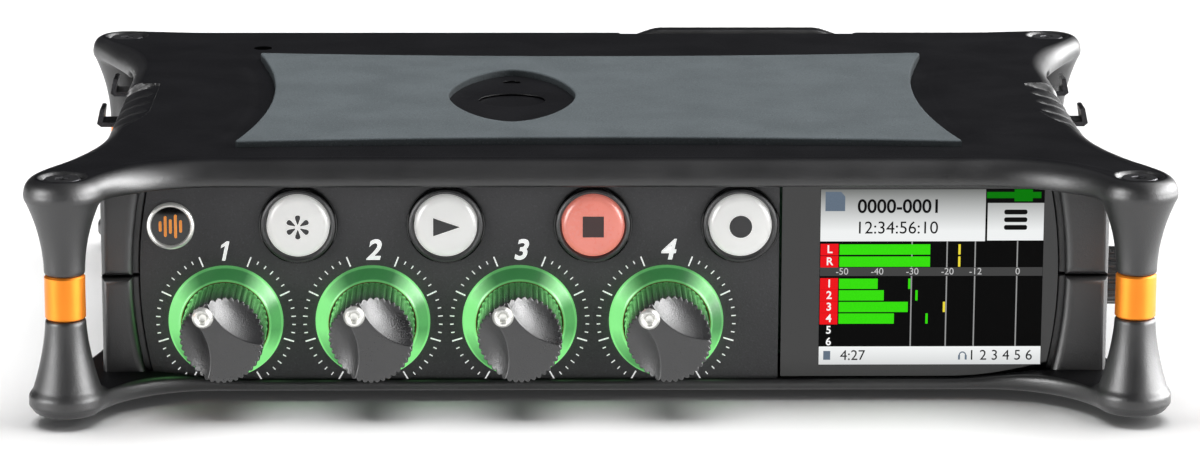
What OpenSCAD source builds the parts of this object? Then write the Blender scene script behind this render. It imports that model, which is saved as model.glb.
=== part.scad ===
// Portable field recorder: two cast shells joined by four corner posts, a control panel with
// four gain knobs, four transport buttons and a colour display, and a battery sled at the back.
// Origin: centre of the footprint on the resting plane. +Z up, the control panel faces -Y.

/* [Body] */
// Width over the corner posts
body_w = 160; // [150:1:175]
// Depth over the corner posts
body_d = 118.6; // [112:0.2:130]
// Height of the two shells together
shell_h = 33.4; // [33:0.2:36]
// Radius of the rounded corners in plan
corner_r = 5.4; // [5.2:0.1:6]
// Height the rubber foot stands below the base
foot_h = 1.2; // [0.8:0.1:2]
// Height the top pad stands above the top shell
pad_proud = 1.4; // [0.6:0.1:1.6]
// Half width of the body at its waist
waist_x = 71.5; // [71.2:0.1:72]
// Depth from the corners' front to the front edge between them
front_setback = 14.6; // [14:0.2:16]
// Depth from the corners' back to the rear edge between them
rear_setback = 0.6; // [0.5:0.1:1.5]

/* [Controls] */
// Distance between neighbouring knobs and neighbouring buttons
control_pitch = 20.85; // [20.6:0.05:21.4]
// Radius of a gain knob
knob_r = 5.95; // [5.6:0.05:6]
// Height of a gain knob in front of the panel
knob_h = 12; // [10:0.1:14]
// Grip flutes around a gain knob
knob_flutes = 42; // [30:2:48]
// Outer radius of the lit ring around a gain knob
ring_r = 8.1; // [7.5:0.05:8.2]
// Radius of a transport button
button_r = 4.45; // [4:0.05:4.6]

/* [Connectors] */
// Radius of a combination jack's flange
jack_r = 11.6; // [11:0.1:11.8]
// Distance between the two jacks on a side
jack_pitch = 23.8; // [23.7:0.1:24.4]

/* [Power] */
// Radius of a battery cell
cell_r = 7.1; // [7:0.05:7.25]
// Length of a battery cell without its terminal
cell_l = 49; // [48.5:0.5:49.5]

/* [Hidden] */
$fn = 48;
eps = 0.01;
arc_step = 9;

// Places in plan
post_x = body_w / 2 - corner_r;
post_y = body_d / 2 - corner_r;
front_y = -body_d / 2 + front_setback;
rear_y = body_d / 2 - rear_setback;
base_setback = 1.2;
panel_y = front_y + 2.84;
panel_t = 2;
panel_back = panel_y + panel_t;
column_y = front_y + 1.84;
column_d = 6.4;
column_back = column_y + column_d;
panel_x = 65.2;
rear_face_y = 49;
window_x = 25.8;
column_x = [waist_x - 0.9, waist_x + 0.8]; // left and right of the control panel
side_face_x = waist_x - 2.3;

// Heights above the resting plane
base_z = foot_h;
top_z = base_z + shell_h;
split_z = base_z + shell_h / 2;
lip_z = top_z - 3.4;
ceiling_z = top_z - 2.2;
rim_z = base_z + 2.9;
front_rim_z = base_z + 1.7;
panel_z = base_z + 1.2;
floor_z = base_z + 1.9;
knob_z = base_z + 10.05;
button_z = base_z + 24.1;
jack_z = base_z + 16.4;
latch_z = base_z + 28.3;
ring_half = 3.1;

// Rows of controls
knob_x = [for (i = [0:3]) -53.1 + i * control_pitch];
button_x = [for (i = [0:3]) -42.7 + i * control_pitch];
badge_x = -60.7;
badge_z = button_z - 0.1;
pointer_angle = [33.8, 30.5, 32.6, 39.7];
pointer_radius = 4.4;
stem_r = 1.5;
rotor_r = 2.6;
running = 0.05;
push_gap = 0.7;
press_travel = 0.5;

// The tripod thread, off centre to sit under the centre of mass
thread_x = -12.4;
thread_y = 1;
pin_offset = 14;
pin_r = 1.4;
thread_r = 3.175;
insert_r = 5;
hub_x = 69;
hub_y = 40;

jack_y = [8.7, 8.7 + jack_pitch];
phones_y = -31;
phones_z = base_z + 14;

cell_pitch = 2 * cell_r + 0.6;
cell_x = [for (i = [-1.5:1:1.5]) i * cell_pitch];
tray_half = 2 * cell_pitch + 1.2;
tray_z = base_z + 4.4;
tray_front = 4.5;
cell_z = tray_z + 1.2 + cell_r;
cover_y0 = rear_face_y + 0.3;
cover_y1 = cover_y0 + 7.1;
cover_left = -36;
cover_right = 46;
latch_x = 24.2;
latch_half = 18.5;
latch_y = cover_y1 - 0.8;
card_x = -44.2;

rib_pitch = 6.45;
rib_y = [for (k = [0:4]) -12.45 + rib_pitch * k];

// Points along an arc, from angle a0 to angle a1 in degrees
function arc(c, r, a0, a1) =
    let (n = max(1, ceil(abs(a1 - a0) / arc_step)))
    [for (k = [0:n]) let (a = a0 + (a1 - a0) * k / n) c + r * [cos(a), sin(a)]];

function mirror_x(p) = [for (k = [len(p) - 1:-1:0]) [-p[k][0], p[k][1]]];

// A quarter of the plan outline, from the waist round the corner to the middle edge, inset by i.
// The middle edge lies m from the corner's centre towards the body, behind a concave arc of radius r.
// The waist ends at waist_end, and flares out by an angle on a concave and then a convex arc.
function corner_run(m, r, i, waist_end, flare, waist_r, hip_r) =
    let (
        out = body_w / 2 - waist_x - (waist_r + hip_r) * (1 - cos(flare)),
        hip = [-body_w / 2 + hip_r, -waist_end - (waist_r + hip_r) * sin(flare) - out / tan(flare)],
        dx = sqrt(pow(r + corner_r, 2) - pow(m - r, 2)),
        c = [-post_x, -post_y],
        a = atan2(m - r, dx)
    )
    concat(
        arc([-waist_x - waist_r, -waist_end], waist_r + i, 0, -flare),
        arc(hip, hip_r - i, 180 - flare, 180),
        arc(c, corner_r - i, 180, 360 + a),
        arc(c + [dx, m - r], r + i, 180 + a, 90)
    );

function flip_y(p) = [for (k = [len(p) - 1:-1:0]) [p[k][0], -p[k][1]]];
function quarter_front(i, set) = corner_run(post_y + front_y + set, 16.6, i, 18.8, 20.9, 56, 13);
function quarter_rear(i) = flip_y(corner_run(post_y - rear_y, 40, i, 25.5, 27, 42, 6));

// The body's plan outline, counterclockwise from above, inset by i, with the front edge set back
function outline(i, set) =
    let (left = concat(quarter_rear(i), quarter_front(i, set)))
    concat(left, mirror_x(left));

// A closed plate with the body's outline; steps lists [inset, height] from the bottom up.
// Each flat end is a fan round a hub in each corner, and five four-sided pieces between the hubs.
module plate(steps, set) {
    rings = [for (s = steps) [for (p = outline(s[0], set)) [p[0], p[1], s[1]]]];
    hub = [[-hub_x, hub_y], [-hub_x, -hub_y], [hub_x, -hub_y], [hub_x, hub_y]];
    n = len(rings[0]);
    m = len(rings);
    q = [0, len(quarter_rear(0)), n / 2, n - len(quarter_rear(0)), n];
    sides = [for (j = [0:m - 2], k = [0:n - 1])
        let (a = j * n + k, b = j * n + (k + 1) % n)
        each [[a, a + n, b], [b, a + n, b + n]]];
    polyhedron(
        concat([for (ring = rings) each ring],
            [for (z = [steps[0][1], steps[m - 1][1]], h = hub) [h[0], h[1], z]]),
        concat(sides, flat_end(q, 0, m * n), [for (f = flat_end(q, (m - 1) * n, m * n + 4))
            [for (k = [len(f) - 1:-1:0]) f[k]]])
    );
}
function flat_end(q, first, hub) =
    let (a = [for (c = [0:3]) first + q[c]], b = [for (c = [0:3]) first + q[c + 1] - 1])
    concat(
        [for (c = [0:3], k = [q[c]:q[c + 1] - 2]) [first + k, first + k + 1, hub + c]],
        [[a[0], hub, hub + 3, b[3]], [hub, b[0], a[3], hub + 3], [b[0], a[1], b[2], a[3]],
            [a[1], hub + 1, hub + 2, b[2]], [hub + 1, b[1], a[2], hub + 2]]
    );

// Steps that round an edge of radius r; up is 1 for an upper edge and -1 for a lower one
function round_steps(inset, z, r, up, n = 4) =
    [for (k = [0:n]) let (a = 90 * (up > 0 ? k : n - k) / n)
        [inset + r * (1 - cos(a)), z + up * r * (sin(a) - 1)]];

module at_corners() for (sx = [-1, 1], sy = [-1, 1]) translate([sx * post_x, sy * post_y, 0]) children();
module at_knobs() for (x = knob_x) translate([x, panel_y, knob_z]) children();
module at_buttons() for (x = button_x) translate([x, panel_y, button_z]) children();
// Turns a shape drawn along +Z so that it points forwards, backwards, left or right
module forwards() rotate([90, 0, 0]) children();
module backwards() rotate([-90, 0, 0]) children();
module outwards(side) rotate([0, 90 * side, 0]) children();
module box(low, high) translate(low) cube(high - low);
module tube(outer, inner, h) difference() {
    cylinder(r = outer, h = h);
    translate([0, 0, -1]) cylinder(r = inner, h = h + 2);
}
// Extrudes an XZ profile from y0 to y1
module xz_extrude(y0, y1) translate([0, y1, 0]) rotate([90, 0, 0]) linear_extrude(y1 - y0) children();

// One side of the opening between the columns, an arc that is widest at the split
function column_edge(side, gap) =
    let (bow = 1.6, half = shell_h / 2 - 2.6, r = (half * half + bow * bow) / (2 * bow), a = asin(half / r))
    [for (k = [-6:6]) [side * (panel_x + 1 - gap - r + r * cos(a * k / 6)), split_z + r * sin(a * k / 6)]];
function upside_down(p) = [for (k = [len(p) - 1:-1:0]) p[k]];

module column(side, reach, y0, y1, z0, z1) intersection() {
    xz_extrude(y0, y1) polygon(concat(column_edge(side, 0),
        [[side * reach, split_z + shell_h / 2], [side * reach, split_z - shell_h / 2]]));
    box([-100, -100, z0], [100, 100, z1]);
}
module columns(z0, z1) for (i = [0, 1]) {
    column(2 * i - 1, column_x[i], column_y, column_back, z0, z1);
    column(2 * i - 1, column_x[0], rear_face_y - 4.5, rear_face_y + 1.5, z0, z1);
}

module pad_profile() {
    half_x = 52.2;
    half_y = 34.2;
    bow_x = 4;
    bow_y = 2.9;
    rx = (half_y * half_y + bow_x * bow_x) / (2 * bow_x);
    ry = (half_x * half_x + bow_y * bow_y) / (2 * bow_y);
    difference() {
        square([2 * half_x, 2 * half_y], center = true);
        for (s = [-1, 1]) {
            translate([s * (half_x - bow_x + rx), 0]) circle(r = rx, $fn = 360);
            translate([0, s * (half_y - bow_y + ry)]) circle(r = ry, $fn = 720);
        }
    }
}

// The lens-shaped window in a pad, a superellipse around the tripod thread
module pad_window() translate([thread_x, 0])
    polygon([for (k = [0:47]) let (a = k * 7.5, e = 2 / 1.7)
        [9.5 * sign(cos(a)) * pow(abs(cos(a)), e), 20 * sign(sin(a)) * pow(abs(sin(a)), e)]]);

// Radius of a post's flare at height h above its neck, as points of a revolved profile
function flare_points(neck_r, wide_r, h, n = 8) =
    [for (k = [0:n]) let (t = k / n) [neck_r + (wide_r - neck_r) * pow(t, 2.1), h * t]];

module flare(neck_r, wide_r, h) rotate_extrude($fn = 64)
    polygon(concat([[0, 0]], flare_points(neck_r, wide_r, h), [[0, h]]));

module top_shell() color([0.12, 0.12, 0.125]) difference() {
    union() {
        difference() {
            plate(concat(round_steps(0, lip_z, 0.7, -1, 1), round_steps(0, top_z, 2.6, 1, 3)), 0);
            box([-side_face_x, panel_y - 0.1, lip_z - 1], [side_face_x, rear_face_y + 0.2, ceiling_z]);
        }
        at_corners() translate([0, 0, split_z + ring_half + 0.1])
            flare(2.95, corner_r - 0.2, lip_z - split_z - ring_half + 0.6);
        columns(split_z + 0.1, ceiling_z + 0.1);
    }
    translate([0, 0, top_z - 0.7]) linear_extrude(2) pad_profile();
    translate([thread_x, thread_y, ceiling_z - 3]) cylinder(r = insert_r, h = 6);
    translate([thread_x, thread_y + pin_offset, ceiling_z - 1]) cylinder(r = pin_r, h = 6);
    translate([-52.6, 40, ceiling_z - 1]) cylinder(r = 0.7, h = 6);
    at_corners() {
        cylinder(r = 1.9, h = base_z + 27.8);
        cylinder(r = 1.35, h = top_z + 1);
        translate([0, 0, top_z - 1.3]) cylinder(r = 2.9, h = 3);
    }
    // Finger grooves over both rounded edges, and room for the rear jack latches
    for (side = [-1, 1]) {
        for (y = rib_y) translate([side * 72.3, y, top_z + 0.6]) rotate([0, side * 45, 0])
            cylinder(r = 1.3, h = 9, center = true);
        translate([side * 76.2, 33, lip_z]) cube([7.8, 8, 2.8], center = true);
    }
    // A notch in the rear edge for the sled's release bar
    box([latch_x - latch_half - 0.4, latch_y - 0.3, lip_z - 1], [latch_x + latch_half + 0.4, body_d, top_z + 1]);
}

module bottom_shell() color([0.12, 0.12, 0.125]) difference() {
    union() {
        difference() {
            plate(concat(round_steps(0.3, base_z, 1.5, -1, 2), [[0.3, rim_z]]), base_setback);
            box([-side_face_x, panel_y - 0.1, floor_z], [side_face_x, rear_face_y + 0.2, rim_z + 1]);
            box([-64.6, panel_y - 0.1, panel_z - 0.1], [64.6, panel_back + 0.1, rim_z + 1]);
            xz_extrude(front_y - 10, panel_y) polygon([[-62, rim_z], [-54, front_rim_z], [54, front_rim_z],
                [62, rim_z], [62, rim_z + 1], [-62, rim_z + 1]]);
        }
        at_corners() translate([0, 0, split_z - ring_half - 0.1]) mirror([0, 0, 1])
            flare(2.95, corner_r - 0.5, split_z - ring_half - rim_z + 0.3);
        columns(floor_z - 0.1, split_z - 0.1);
        for (p = board_posts()) translate([p[0], p[1], base_z + 1]) cylinder(r = 2.4, h = 2.6);
    }
    translate([0, 0, base_z - 1]) linear_extrude(1.6) pad_profile();
    translate([thread_x, thread_y, 0]) cylinder(r = insert_r, h = 20);
    translate([thread_x, thread_y + pin_offset, 0]) cylinder(r = pin_r, h = 20);
    for (p = board_posts()) translate([p[0], p[1], base_z + 1.2]) cylinder(r = 0.9, h = 5);
    at_corners() {
        translate([0, 0, base_z + 5.6]) cylinder(r = 1.9, h = 20);
        cylinder(r = 1.35, h = 20);
        cylinder(r = 2.9, h = base_z + 1.3);
    }
}

function board_posts() = [for (sx = [-1, 1], y = [-27, 38]) [sx * 36, y]];

module front_panel() color([0.17, 0.17, 0.18]) difference() {
    xz_extrude(panel_y, panel_back) polygon(concat([[-62, panel_z]], column_edge(-1, 1.05),
        [[window_x - 0.4, split_z + shell_h / 2 - 2.6], [window_x - 0.4, panel_z]]));
    at_knobs() backwards() translate([0, 0, -1]) cylinder(r = ring_r + 0.05, h = 4);
    at_buttons() backwards() translate([0, 0, -1]) cylinder(r = button_r + 0.7, h = 4);
    translate([badge_x, panel_y, badge_z]) backwards() translate([0, 0, -1]) cylinder(r = 2.6, h = 1.8);
}

module side_panel(side) color([0.13, 0.13, 0.135]) difference() {
    translate([side * (side_face_x - 0.85), (column_back + rear_face_y - 4.5) / 2, (floor_z + ceiling_z) / 2])
        cube([1.6, rear_face_y - 4.5 - column_back - 0.2, ceiling_z - floor_z - 0.2], center = true);
    for (y = jack_y) {
        translate([side * 60, y, jack_z]) outwards(side) cylinder(r = jack_r - 0.35, h = 20);
        translate([side * 65, y, latch_z + 0.35]) cube([20, 5.4, 1.3], center = true);
    }
    if (side > 0) {
        translate([60, phones_y, phones_z]) outwards(1) cylinder(r = 2.9, h = 20);
        for (p = mini_jack_places()) translate([60, p[0], p[1]]) outwards(1) cylinder(r = 3.1, h = 20);
    } else {
        translate([-65, -12.5, jack_z]) cube([20, 6.2, 15.8], center = true);
        translate([-65, -21, jack_z]) cube([20, 3.8, 9.6], center = true);
        translate([-65, -29.5, jack_z]) cube([20, 7.6, 3.6], center = true);
    }
}
module left_panel() side_panel(-1);
module right_panel() side_panel(1);

function mini_jack_places() = [[-17, base_z + 24.4], [-17, base_z + 16.4], [-17, base_z + 8.4]];

module rear_panel() color([0.13, 0.13, 0.135]) difference() {
    xz_extrude(rear_face_y - 1.5, rear_face_y)
        polygon(concat(column_edge(1, 1.05), upside_down(column_edge(-1, 1.05))));
    box([-tray_half - 0.4, 40, tray_z - 0.4], [tray_half + 0.4, 60, cell_z + cell_r + 0.6]);
    box([card_x - 1.3, 40, base_z + 4.2], [card_x + 1.3, 60, base_z + 28.8]);
}

module top_pad() color([0.42, 0.44, 0.46]) translate([0, 0, top_z - 0.7])
    linear_extrude(0.7 + pad_proud) difference() {
        intersection() {
            pad_profile();
            square([104.2, 68.2], center = true);
        }
        pad_window();
    }

module bottom_pad() color([0.16, 0.16, 0.17]) linear_extrude(base_z + 0.6) difference() {
    intersection() {
        pad_profile();
        square([104.2, 68.2], center = true);
    }
    pad_window();
}

module post_rings() color([0.95, 0.5, 0.05])
    at_corners() translate([0, 0, split_z - ring_half]) tube(2.85, 1.9, 2 * ring_half);

module post_studs() color([0.7, 0.7, 0.72]) at_corners() difference() {
    translate([0, 0, base_z + 5.8]) cylinder(r = 1.85, h = 21.8);
    translate([0, 0, base_z + 5]) cylinder(r = 1.25, h = 9);
    translate([0, 0, base_z + 20]) cylinder(r = 1.25, h = 9);
}

// A low-headed screw, pointing down from its head's top at z = 0
module socket_screw(head_r, head_h, shank_r, shank_l) difference() {
    union() {
        translate([0, 0, -head_h]) cylinder(r = head_r, h = head_h);
        translate([0, 0, -head_h - shank_l]) cylinder(r = shank_r, h = shank_l + eps);
    }
    translate([0, 0, -0.8 * head_h]) cylinder(r = 0.45 * head_r, h = head_h, $fn = 6);
}
module post_screws() color([0.15, 0.15, 0.16]) at_corners() {
    translate([0, 0, top_z - 0.15]) socket_screw(2.7, 1.1, 1.2, 9);
    translate([0, 0, base_z + 0.15]) mirror([0, 0, 1]) socket_screw(2.7, 1.1, 1.2, 9);
}

module thread_inserts() color([0.72, 0.72, 0.7]) translate([thread_x, thread_y, 0]) {
    translate([0, 0, top_z - 7.9]) tube(insert_r - 0.02, thread_r, 7);
    translate([0, 0, base_z + 0.7]) tube(insert_r - 0.02, thread_r, 3.6);
}

module badge_ring() color([0.8, 0.8, 0.82]) translate([badge_x, panel_y - 0.02, badge_z]) forwards()
    rotate_extrude() polygon([[2.75, 0], [3.35, 0], [3.35, 0.45], [3.2, 0.75], [2.9, 0.75], [2.75, 0.5]]);
module badge_face() color([0.05, 0.05, 0.06]) translate([badge_x, panel_y - 0.02, badge_z]) forwards()
    translate([0, 0, -0.7]) union() {
        cylinder(r = 2.5, h = 0.75);
        translate([0, 0, 0.7]) cylinder(r = 2.72, h = 0.5);
    }

// A gain knob: fluted skirt, two finger scoops that leave a tapering ridge, and a stem for the encoder
module knob(i) color([0.16, 0.16, 0.17]) translate([knob_x[i], panel_y, knob_z]) forwards()
    rotate(pointer_angle[i]) difference() {
        union() {
            translate([0, 0, push_gap]) cylinder(r = knob_r, h = knob_h - push_gap - 0.35);
            translate([0, 0, knob_h - 0.36]) cylinder(r1 = knob_r, r2 = knob_r - 0.35, h = 0.36, $fn = 48);
            translate([0, 0, -6.6]) cylinder(r = stem_r, h = 8);
        }
        for (k = [0:knob_flutes - 1]) rotate(360 * (k + 0.5) / knob_flutes)
            translate([knob_r + 0.16, 0, push_gap - 1]) cylinder(r = 0.38, h = knob_h + 1, $fn = 24);
        for (s = [-1, 1]) translate([s * 10.1, 3.4, knob_h + 7.7]) sphere(r = 11.7, $fn = 96);
        translate([0, pointer_radius, knob_h - 2]) cylinder(r = 1.2, h = 5);
    }
module knob_1() knob(0);
module knob_2() knob(1);
module knob_3() knob(2);
module knob_4() knob(3);

// The bright index pin at the narrow end of a knob's ridge
module knob_pointer(i) color([0.9, 0.9, 0.88]) translate([knob_x[i], panel_y, knob_z]) forwards()
    rotate(pointer_angle[i]) translate([0, pointer_radius, knob_h - 1.95]) rotate_extrude($fn = 32)
        polygon([[0, 0], [1.17, 0], [1.17, 2.05], [1.4, 2.1], [1.4, 2.7], [1.15, 3.05], [0.8, 3.15],
            [0.65, 2.8], [0, 2.7]]);
module knob_pointer_1() knob_pointer(0);
module knob_pointer_2() knob_pointer(1);
module knob_pointer_3() knob_pointer(2);
module knob_pointer_4() knob_pointer(3);

// The turning hub inside an encoder; the knob's stem slides through it when the knob is pressed
module rotor() difference() {
    union() {
        translate([0, 0, 0.1]) cylinder(r = rotor_r, h = 6.2);
        translate([0, 0, 2.6]) cylinder(r = 3.6, h = 1.2);
    }
    translate([0, 0, -1]) cylinder(r = stem_r + running, h = 9);
}
module encoder_rotor(i) color([0.6, 0.6, 0.58])
    translate([knob_x[i], panel_back - 0.4, knob_z]) backwards() rotor();
module encoder_rotor_1() encoder_rotor(0);
module encoder_rotor_2() encoder_rotor(1);
module encoder_rotor_3() encoder_rotor(2);
module encoder_rotor_4() encoder_rotor(3);

// An encoder case around its hub
module encoder_case() difference() {
    union() {
        translate([0, 0, 4.33]) cube([11, 11, 5.22], center = true);
        translate([0, 0, 0.4]) cylinder(r = 3.4, h = 2);
    }
    translate([0, 0, -1]) cylinder(r = rotor_r + running, h = 9);
    translate([0, 0, 2.5]) cylinder(r = 3.7, h = 1.4);
}
module encoder_bodies() color([0.35, 0.36, 0.38]) {
    for (x = knob_x) translate([x, panel_back - 0.4, knob_z]) backwards() encoder_case();
    translate([side_face_x - 2.05, phones_y, phones_z]) outwards(-1) encoder_case();
}

module light_rings() color([0.35, 0.9, 0.45]) at_knobs() forwards() rotate_extrude($fn = 72)
    polygon([[6.2, -panel_t], [ring_r, -panel_t], [ring_r, 0.3], [ring_r - 0.3, 0.7], [6.6, 2.2], [6.2, 2.2]]);

// A domed push button with a stem that reaches its switch
module button(i) translate([button_x[i], panel_y, button_z]) forwards() union() {
    translate([0, 0, -2.6]) cylinder(r = button_r, h = 3.6);
    intersection() {
        translate([0, 0, 0.9]) cylinder(r = button_r, h = 2);
        translate([0, 0, 1.9 - 16]) sphere(r = 16, $fn = 72);
    }
    translate([0, 0, -5.2]) cylinder(r = 1.5, h = 4);
}
module button_star() color([0.93, 0.93, 0.9]) button(0);
module button_play() color([0.93, 0.93, 0.9]) button(1);
module button_stop() color([0.95, 0.42, 0.38]) button(2);
module button_record() color([0.93, 0.93, 0.9]) button(3);

module button_bezels() color([0.1, 0.1, 0.105]) at_buttons() forwards() rotate_extrude($fn = 72)
    polygon([[4.6, -panel_t], [5.1, -panel_t], [5.1, 0.05], [5.45, 0.05], [5.45, 0.7], [5.15, 1.15],
        [4.85, 1.15], [4.6, 0.8]]);

module switch_bodies() color([0.25, 0.25, 0.26]) for (x = button_x)
    translate([x, panel_back + 3.75 + 1.6, button_z]) cube([6, 3.2, 6], center = true);

module display_window() color([0.03, 0.03, 0.035]) xz_extrude(panel_y - 0.02, panel_y + 1.2)
    polygon(concat([[62, panel_z], [window_x, panel_z], [window_x, split_z + shell_h / 2 - 2.6]],
        upside_down(column_edge(1, 1.05))));

module display_module() color([0.1, 0.12, 0.14]) union() {
    box([28.6, panel_y + 1.3, base_z + 2.3], [64.2, panel_y + 3.6, base_z + 30]);
    box([60, panel_y + 3.5, base_z + 8], [63, panel_y + 4.6, base_z + 16]);
}

module front_board() color([0.05, 0.3, 0.16]) difference() {
    box([-60.8, panel_back + 6.96, base_z + 5], [27, panel_back + 8.4, base_z + 29.4]);
    at_knobs() backwards() cylinder(r = 2, h = 20);
}

module main_board() color([0.05, 0.3, 0.16]) difference() {
    box([-64, column_back + 0.4, base_z + 3.62], [64, rear_face_y - 5, base_z + 4.3]);
    translate([thread_x, thread_y, 0]) cylinder(r = insert_r + 0.5, h = 20);
    for (p = board_posts()) translate([p[0], p[1], 0]) cylinder(r = 1.3, h = 20);
}

module board_screws() color([0.75, 0.75, 0.72]) for (p = board_posts())
    translate([p[0], p[1], base_z + 5.4]) socket_screw(1.8, 1.08, 0.88, 2.6);

// Flat flexible cable from the display down to the main board
module ribbon_cable() color([0.75, 0.5, 0.25]) translate([50, 0, 0]) rotate([90, 0, 90]) linear_extrude(8)
    polygon([[panel_y + 3.7, base_z + 20], [panel_y + 3.7, base_z + 20.3], [panel_y + 7.2, base_z + 20.3],
        [panel_y + 7.2, base_z + 4.4], [panel_y + 12, base_z + 4.4], [panel_y + 12, base_z + 4.7],
        [panel_y + 7.5, base_z + 4.7], [panel_y + 7.5, base_z + 20.6], [panel_y + 3.65, base_z + 20.6]]);

module headphone_knob() color([0.14, 0.14, 0.145]) translate([side_face_x, phones_y, phones_z]) outwards(1)
    difference() {
        union() {
            translate([0, 0, push_gap]) cylinder(r = 4.2, h = 6);
            translate([0, 0, push_gap + 5.99]) cylinder(r1 = 4.2, r2 = 3.8, h = 0.4, $fn = 48);
            translate([0, 0, -8.2]) cylinder(r = stem_r, h = 10);
        }
        for (k = [0:23]) rotate(15 * k) translate([4.35, 0, 0]) cylinder(r = 0.36, h = 9, $fn = 24);
    }
module headphone_rotor() color([0.6, 0.6, 0.58])
    translate([side_face_x - 2.05, phones_y, phones_z]) outwards(-1) rotor();

// A combination jack for round three-pin and quarter-inch plugs, opening outwards
module combo_jack() difference() {
    union() {
        translate([0, 0, -22]) cylinder(r = jack_r - 0.4, h = 22);
        translate([0, 0, 0.05]) cylinder(r = jack_r, h = 1, $fn = 96);
        translate([0, 0, -1]) cylinder(r = jack_r - 0.4, h = 1.5);
    }
    difference() {
        translate([0, 0, -15]) cylinder(r = 9.6, h = 17, $fn = 72);
        translate([0, 0, -16]) cylinder(r = 7.6, h = 16.4, $fn = 72);
    }
    translate([0, 0, -20]) cylinder(r = 3.3, h = 22);
    for (a = [-60, 60, 180]) rotate(a) translate([0, 5.4, -12]) cylinder(r = 1.25, h = 14, $fn = 24);
}
module combo_jacks() color([0.08, 0.08, 0.085]) for (side = [-1, 1], y = jack_y)
    translate([side * side_face_x, y, jack_z]) outwards(side) rotate(side * -90) combo_jack();

// The release tab of a jack: a tongue with a turned-up lip that leans towards the body
module jack_latch(side, k) color([0.75, 0.75, 0.74])
    translate([side * side_face_x, jack_y[k] - 2.4, latch_z]) mirror([side > 0 ? 0 : 1, 0, 0])
    xz_extrude(0, 4.8) polygon([[-6, 0], [5.5, 0], [6.1, 0.5], [5.6, 2.75], [5.2, 2.8], [4.95, 2.6],
        [5.2, 0.7], [-6, 0.7]]);
module jack_latch_1() jack_latch(-1, 0);
module jack_latch_2() jack_latch(-1, 1);
module jack_latch_3() jack_latch(1, 0);
module jack_latch_4() jack_latch(1, 1);

module mini_jacks() color([0.09, 0.09, 0.095]) for (p = mini_jack_places())
    translate([side_face_x, p[0], p[1]]) outwards(1) difference() {
        union() {
            translate([0, 0, -14]) cylinder(r = 3, h = 14.4);
            translate([-3.4, -3.4, -14]) cube([6.8, 6.8, 12]);
            translate([0, 0, 0.05]) cylinder(r = 3.6, h = 0.5);
        }
        translate([0, 0, -12]) cylinder(r = 1.8, h = 14);
    }

// A port shell: a tube of rectangular section w by h with a tongue inside, opening to -X
module port(y, w, h, wall, tongue) translate([-side_face_x + 0.1, y, jack_z]) {
    difference() {
        translate([5, 0, 0]) cube([10, w, h], center = true);
        translate([3.5, 0, 0]) cube([9, w - 2 * wall, h - 2 * wall], center = true);
    }
    translate([5, 0, 0]) cube([8, tongue, h - 4 * wall - 0.6], center = true);
}
module usb_port() color([0.7, 0.7, 0.72]) port(-21, 3.3, 9.1, 0.35, 0.7);
module timecode_port() color([0.7, 0.7, 0.72]) port(-12.5, 5.6, 15.2, 0.4, 1.6);

module power_switch() color([0.3, 0.3, 0.32])
    translate([-side_face_x + 1.75, -29.5, jack_z]) difference() {
        translate([0, -6, -3.4]) cube([6, 12, 6.8]);
        translate([-1, -3.7, -1.7]) cube([4, 7.4, 3.4]);
    }
module power_slider() color([0.2, 0.2, 0.21]) translate([-side_face_x - 0.9, -29.5, jack_z]) {
    box([0, -3.5, -1.5], [5, -0.5, 1.5]);
}

// The sled: a tray that cradles the cells, behind a cover with a slot for its release bar
module battery_sled() color([0.1, 0.1, 0.105]) difference() {
    union() {
        box([-tray_half, tray_front, tray_z], [tray_half, cover_y0 + 0.1, tray_z + 9]);
        box([cover_left, cover_y0, base_z + 3.1], [cover_right, cover_y1, base_z + 29.8]);
    }
    for (x = cell_x) translate([x, 0, cell_z]) {
        translate([0, tray_front + 1.4, 0]) backwards() cylinder(r = cell_r + 0.15, h = cell_l - 0.3);
        translate([0, tray_front - 1, 0]) backwards() cylinder(r = 3, h = 5);
    }
    box([-tray_half + 1.2, tray_front + 1.4, cell_z], [tray_half - 1.2, cover_y0 - 0.1, cell_z + 20]);
    box([latch_x - latch_half - 0.2, cover_y1 - 3.2, base_z + 21],
        [latch_x + latch_half + 0.2, cover_y1 + 1, base_z + 40]);
    for (k = [0:4]) box([-31, cover_y1 - 0.6, base_z + 6 + 4.5 * k], [-3, cover_y1 + 1, base_z + 7.6 + 4.5 * k]);
}

module battery_cells() color([0.75, 0.6, 0.25]) for (x = cell_x)
    translate([x, tray_front + 1.5, cell_z]) backwards() {
        cylinder(r = cell_r, h = cell_l - 0.6);
        translate([0, 0, -0.9 + eps]) cylinder(r = 2.6, h = 0.9);
    }

// The sled's release bar: a shallow arch that shows behind the top shell, on a thumb plate
module sled_latch() color([0.12, 0.12, 0.125]) union() {
    box([latch_x - latch_half, cover_y1 - 3, base_z + 23.2], [latch_x + latch_half, cover_y1 - 0.2, base_z + 29.4]);
    xz_extrude(latch_y, latch_y + 2.9) polygon([[latch_x - latch_half, base_z + 28],
        [latch_x + latch_half, base_z + 28], [latch_x + latch_half, top_z - 0.6],
        [latch_x + latch_half - 2, top_z + 0.2], [latch_x + latch_half - 8, top_z + 0.8],
        [latch_x - latch_half + 5.5, top_z + 0.8], [latch_x - latch_half + 1.5, top_z + 0.2],
        [latch_x - latch_half, top_z - 0.6]]);
}

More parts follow.
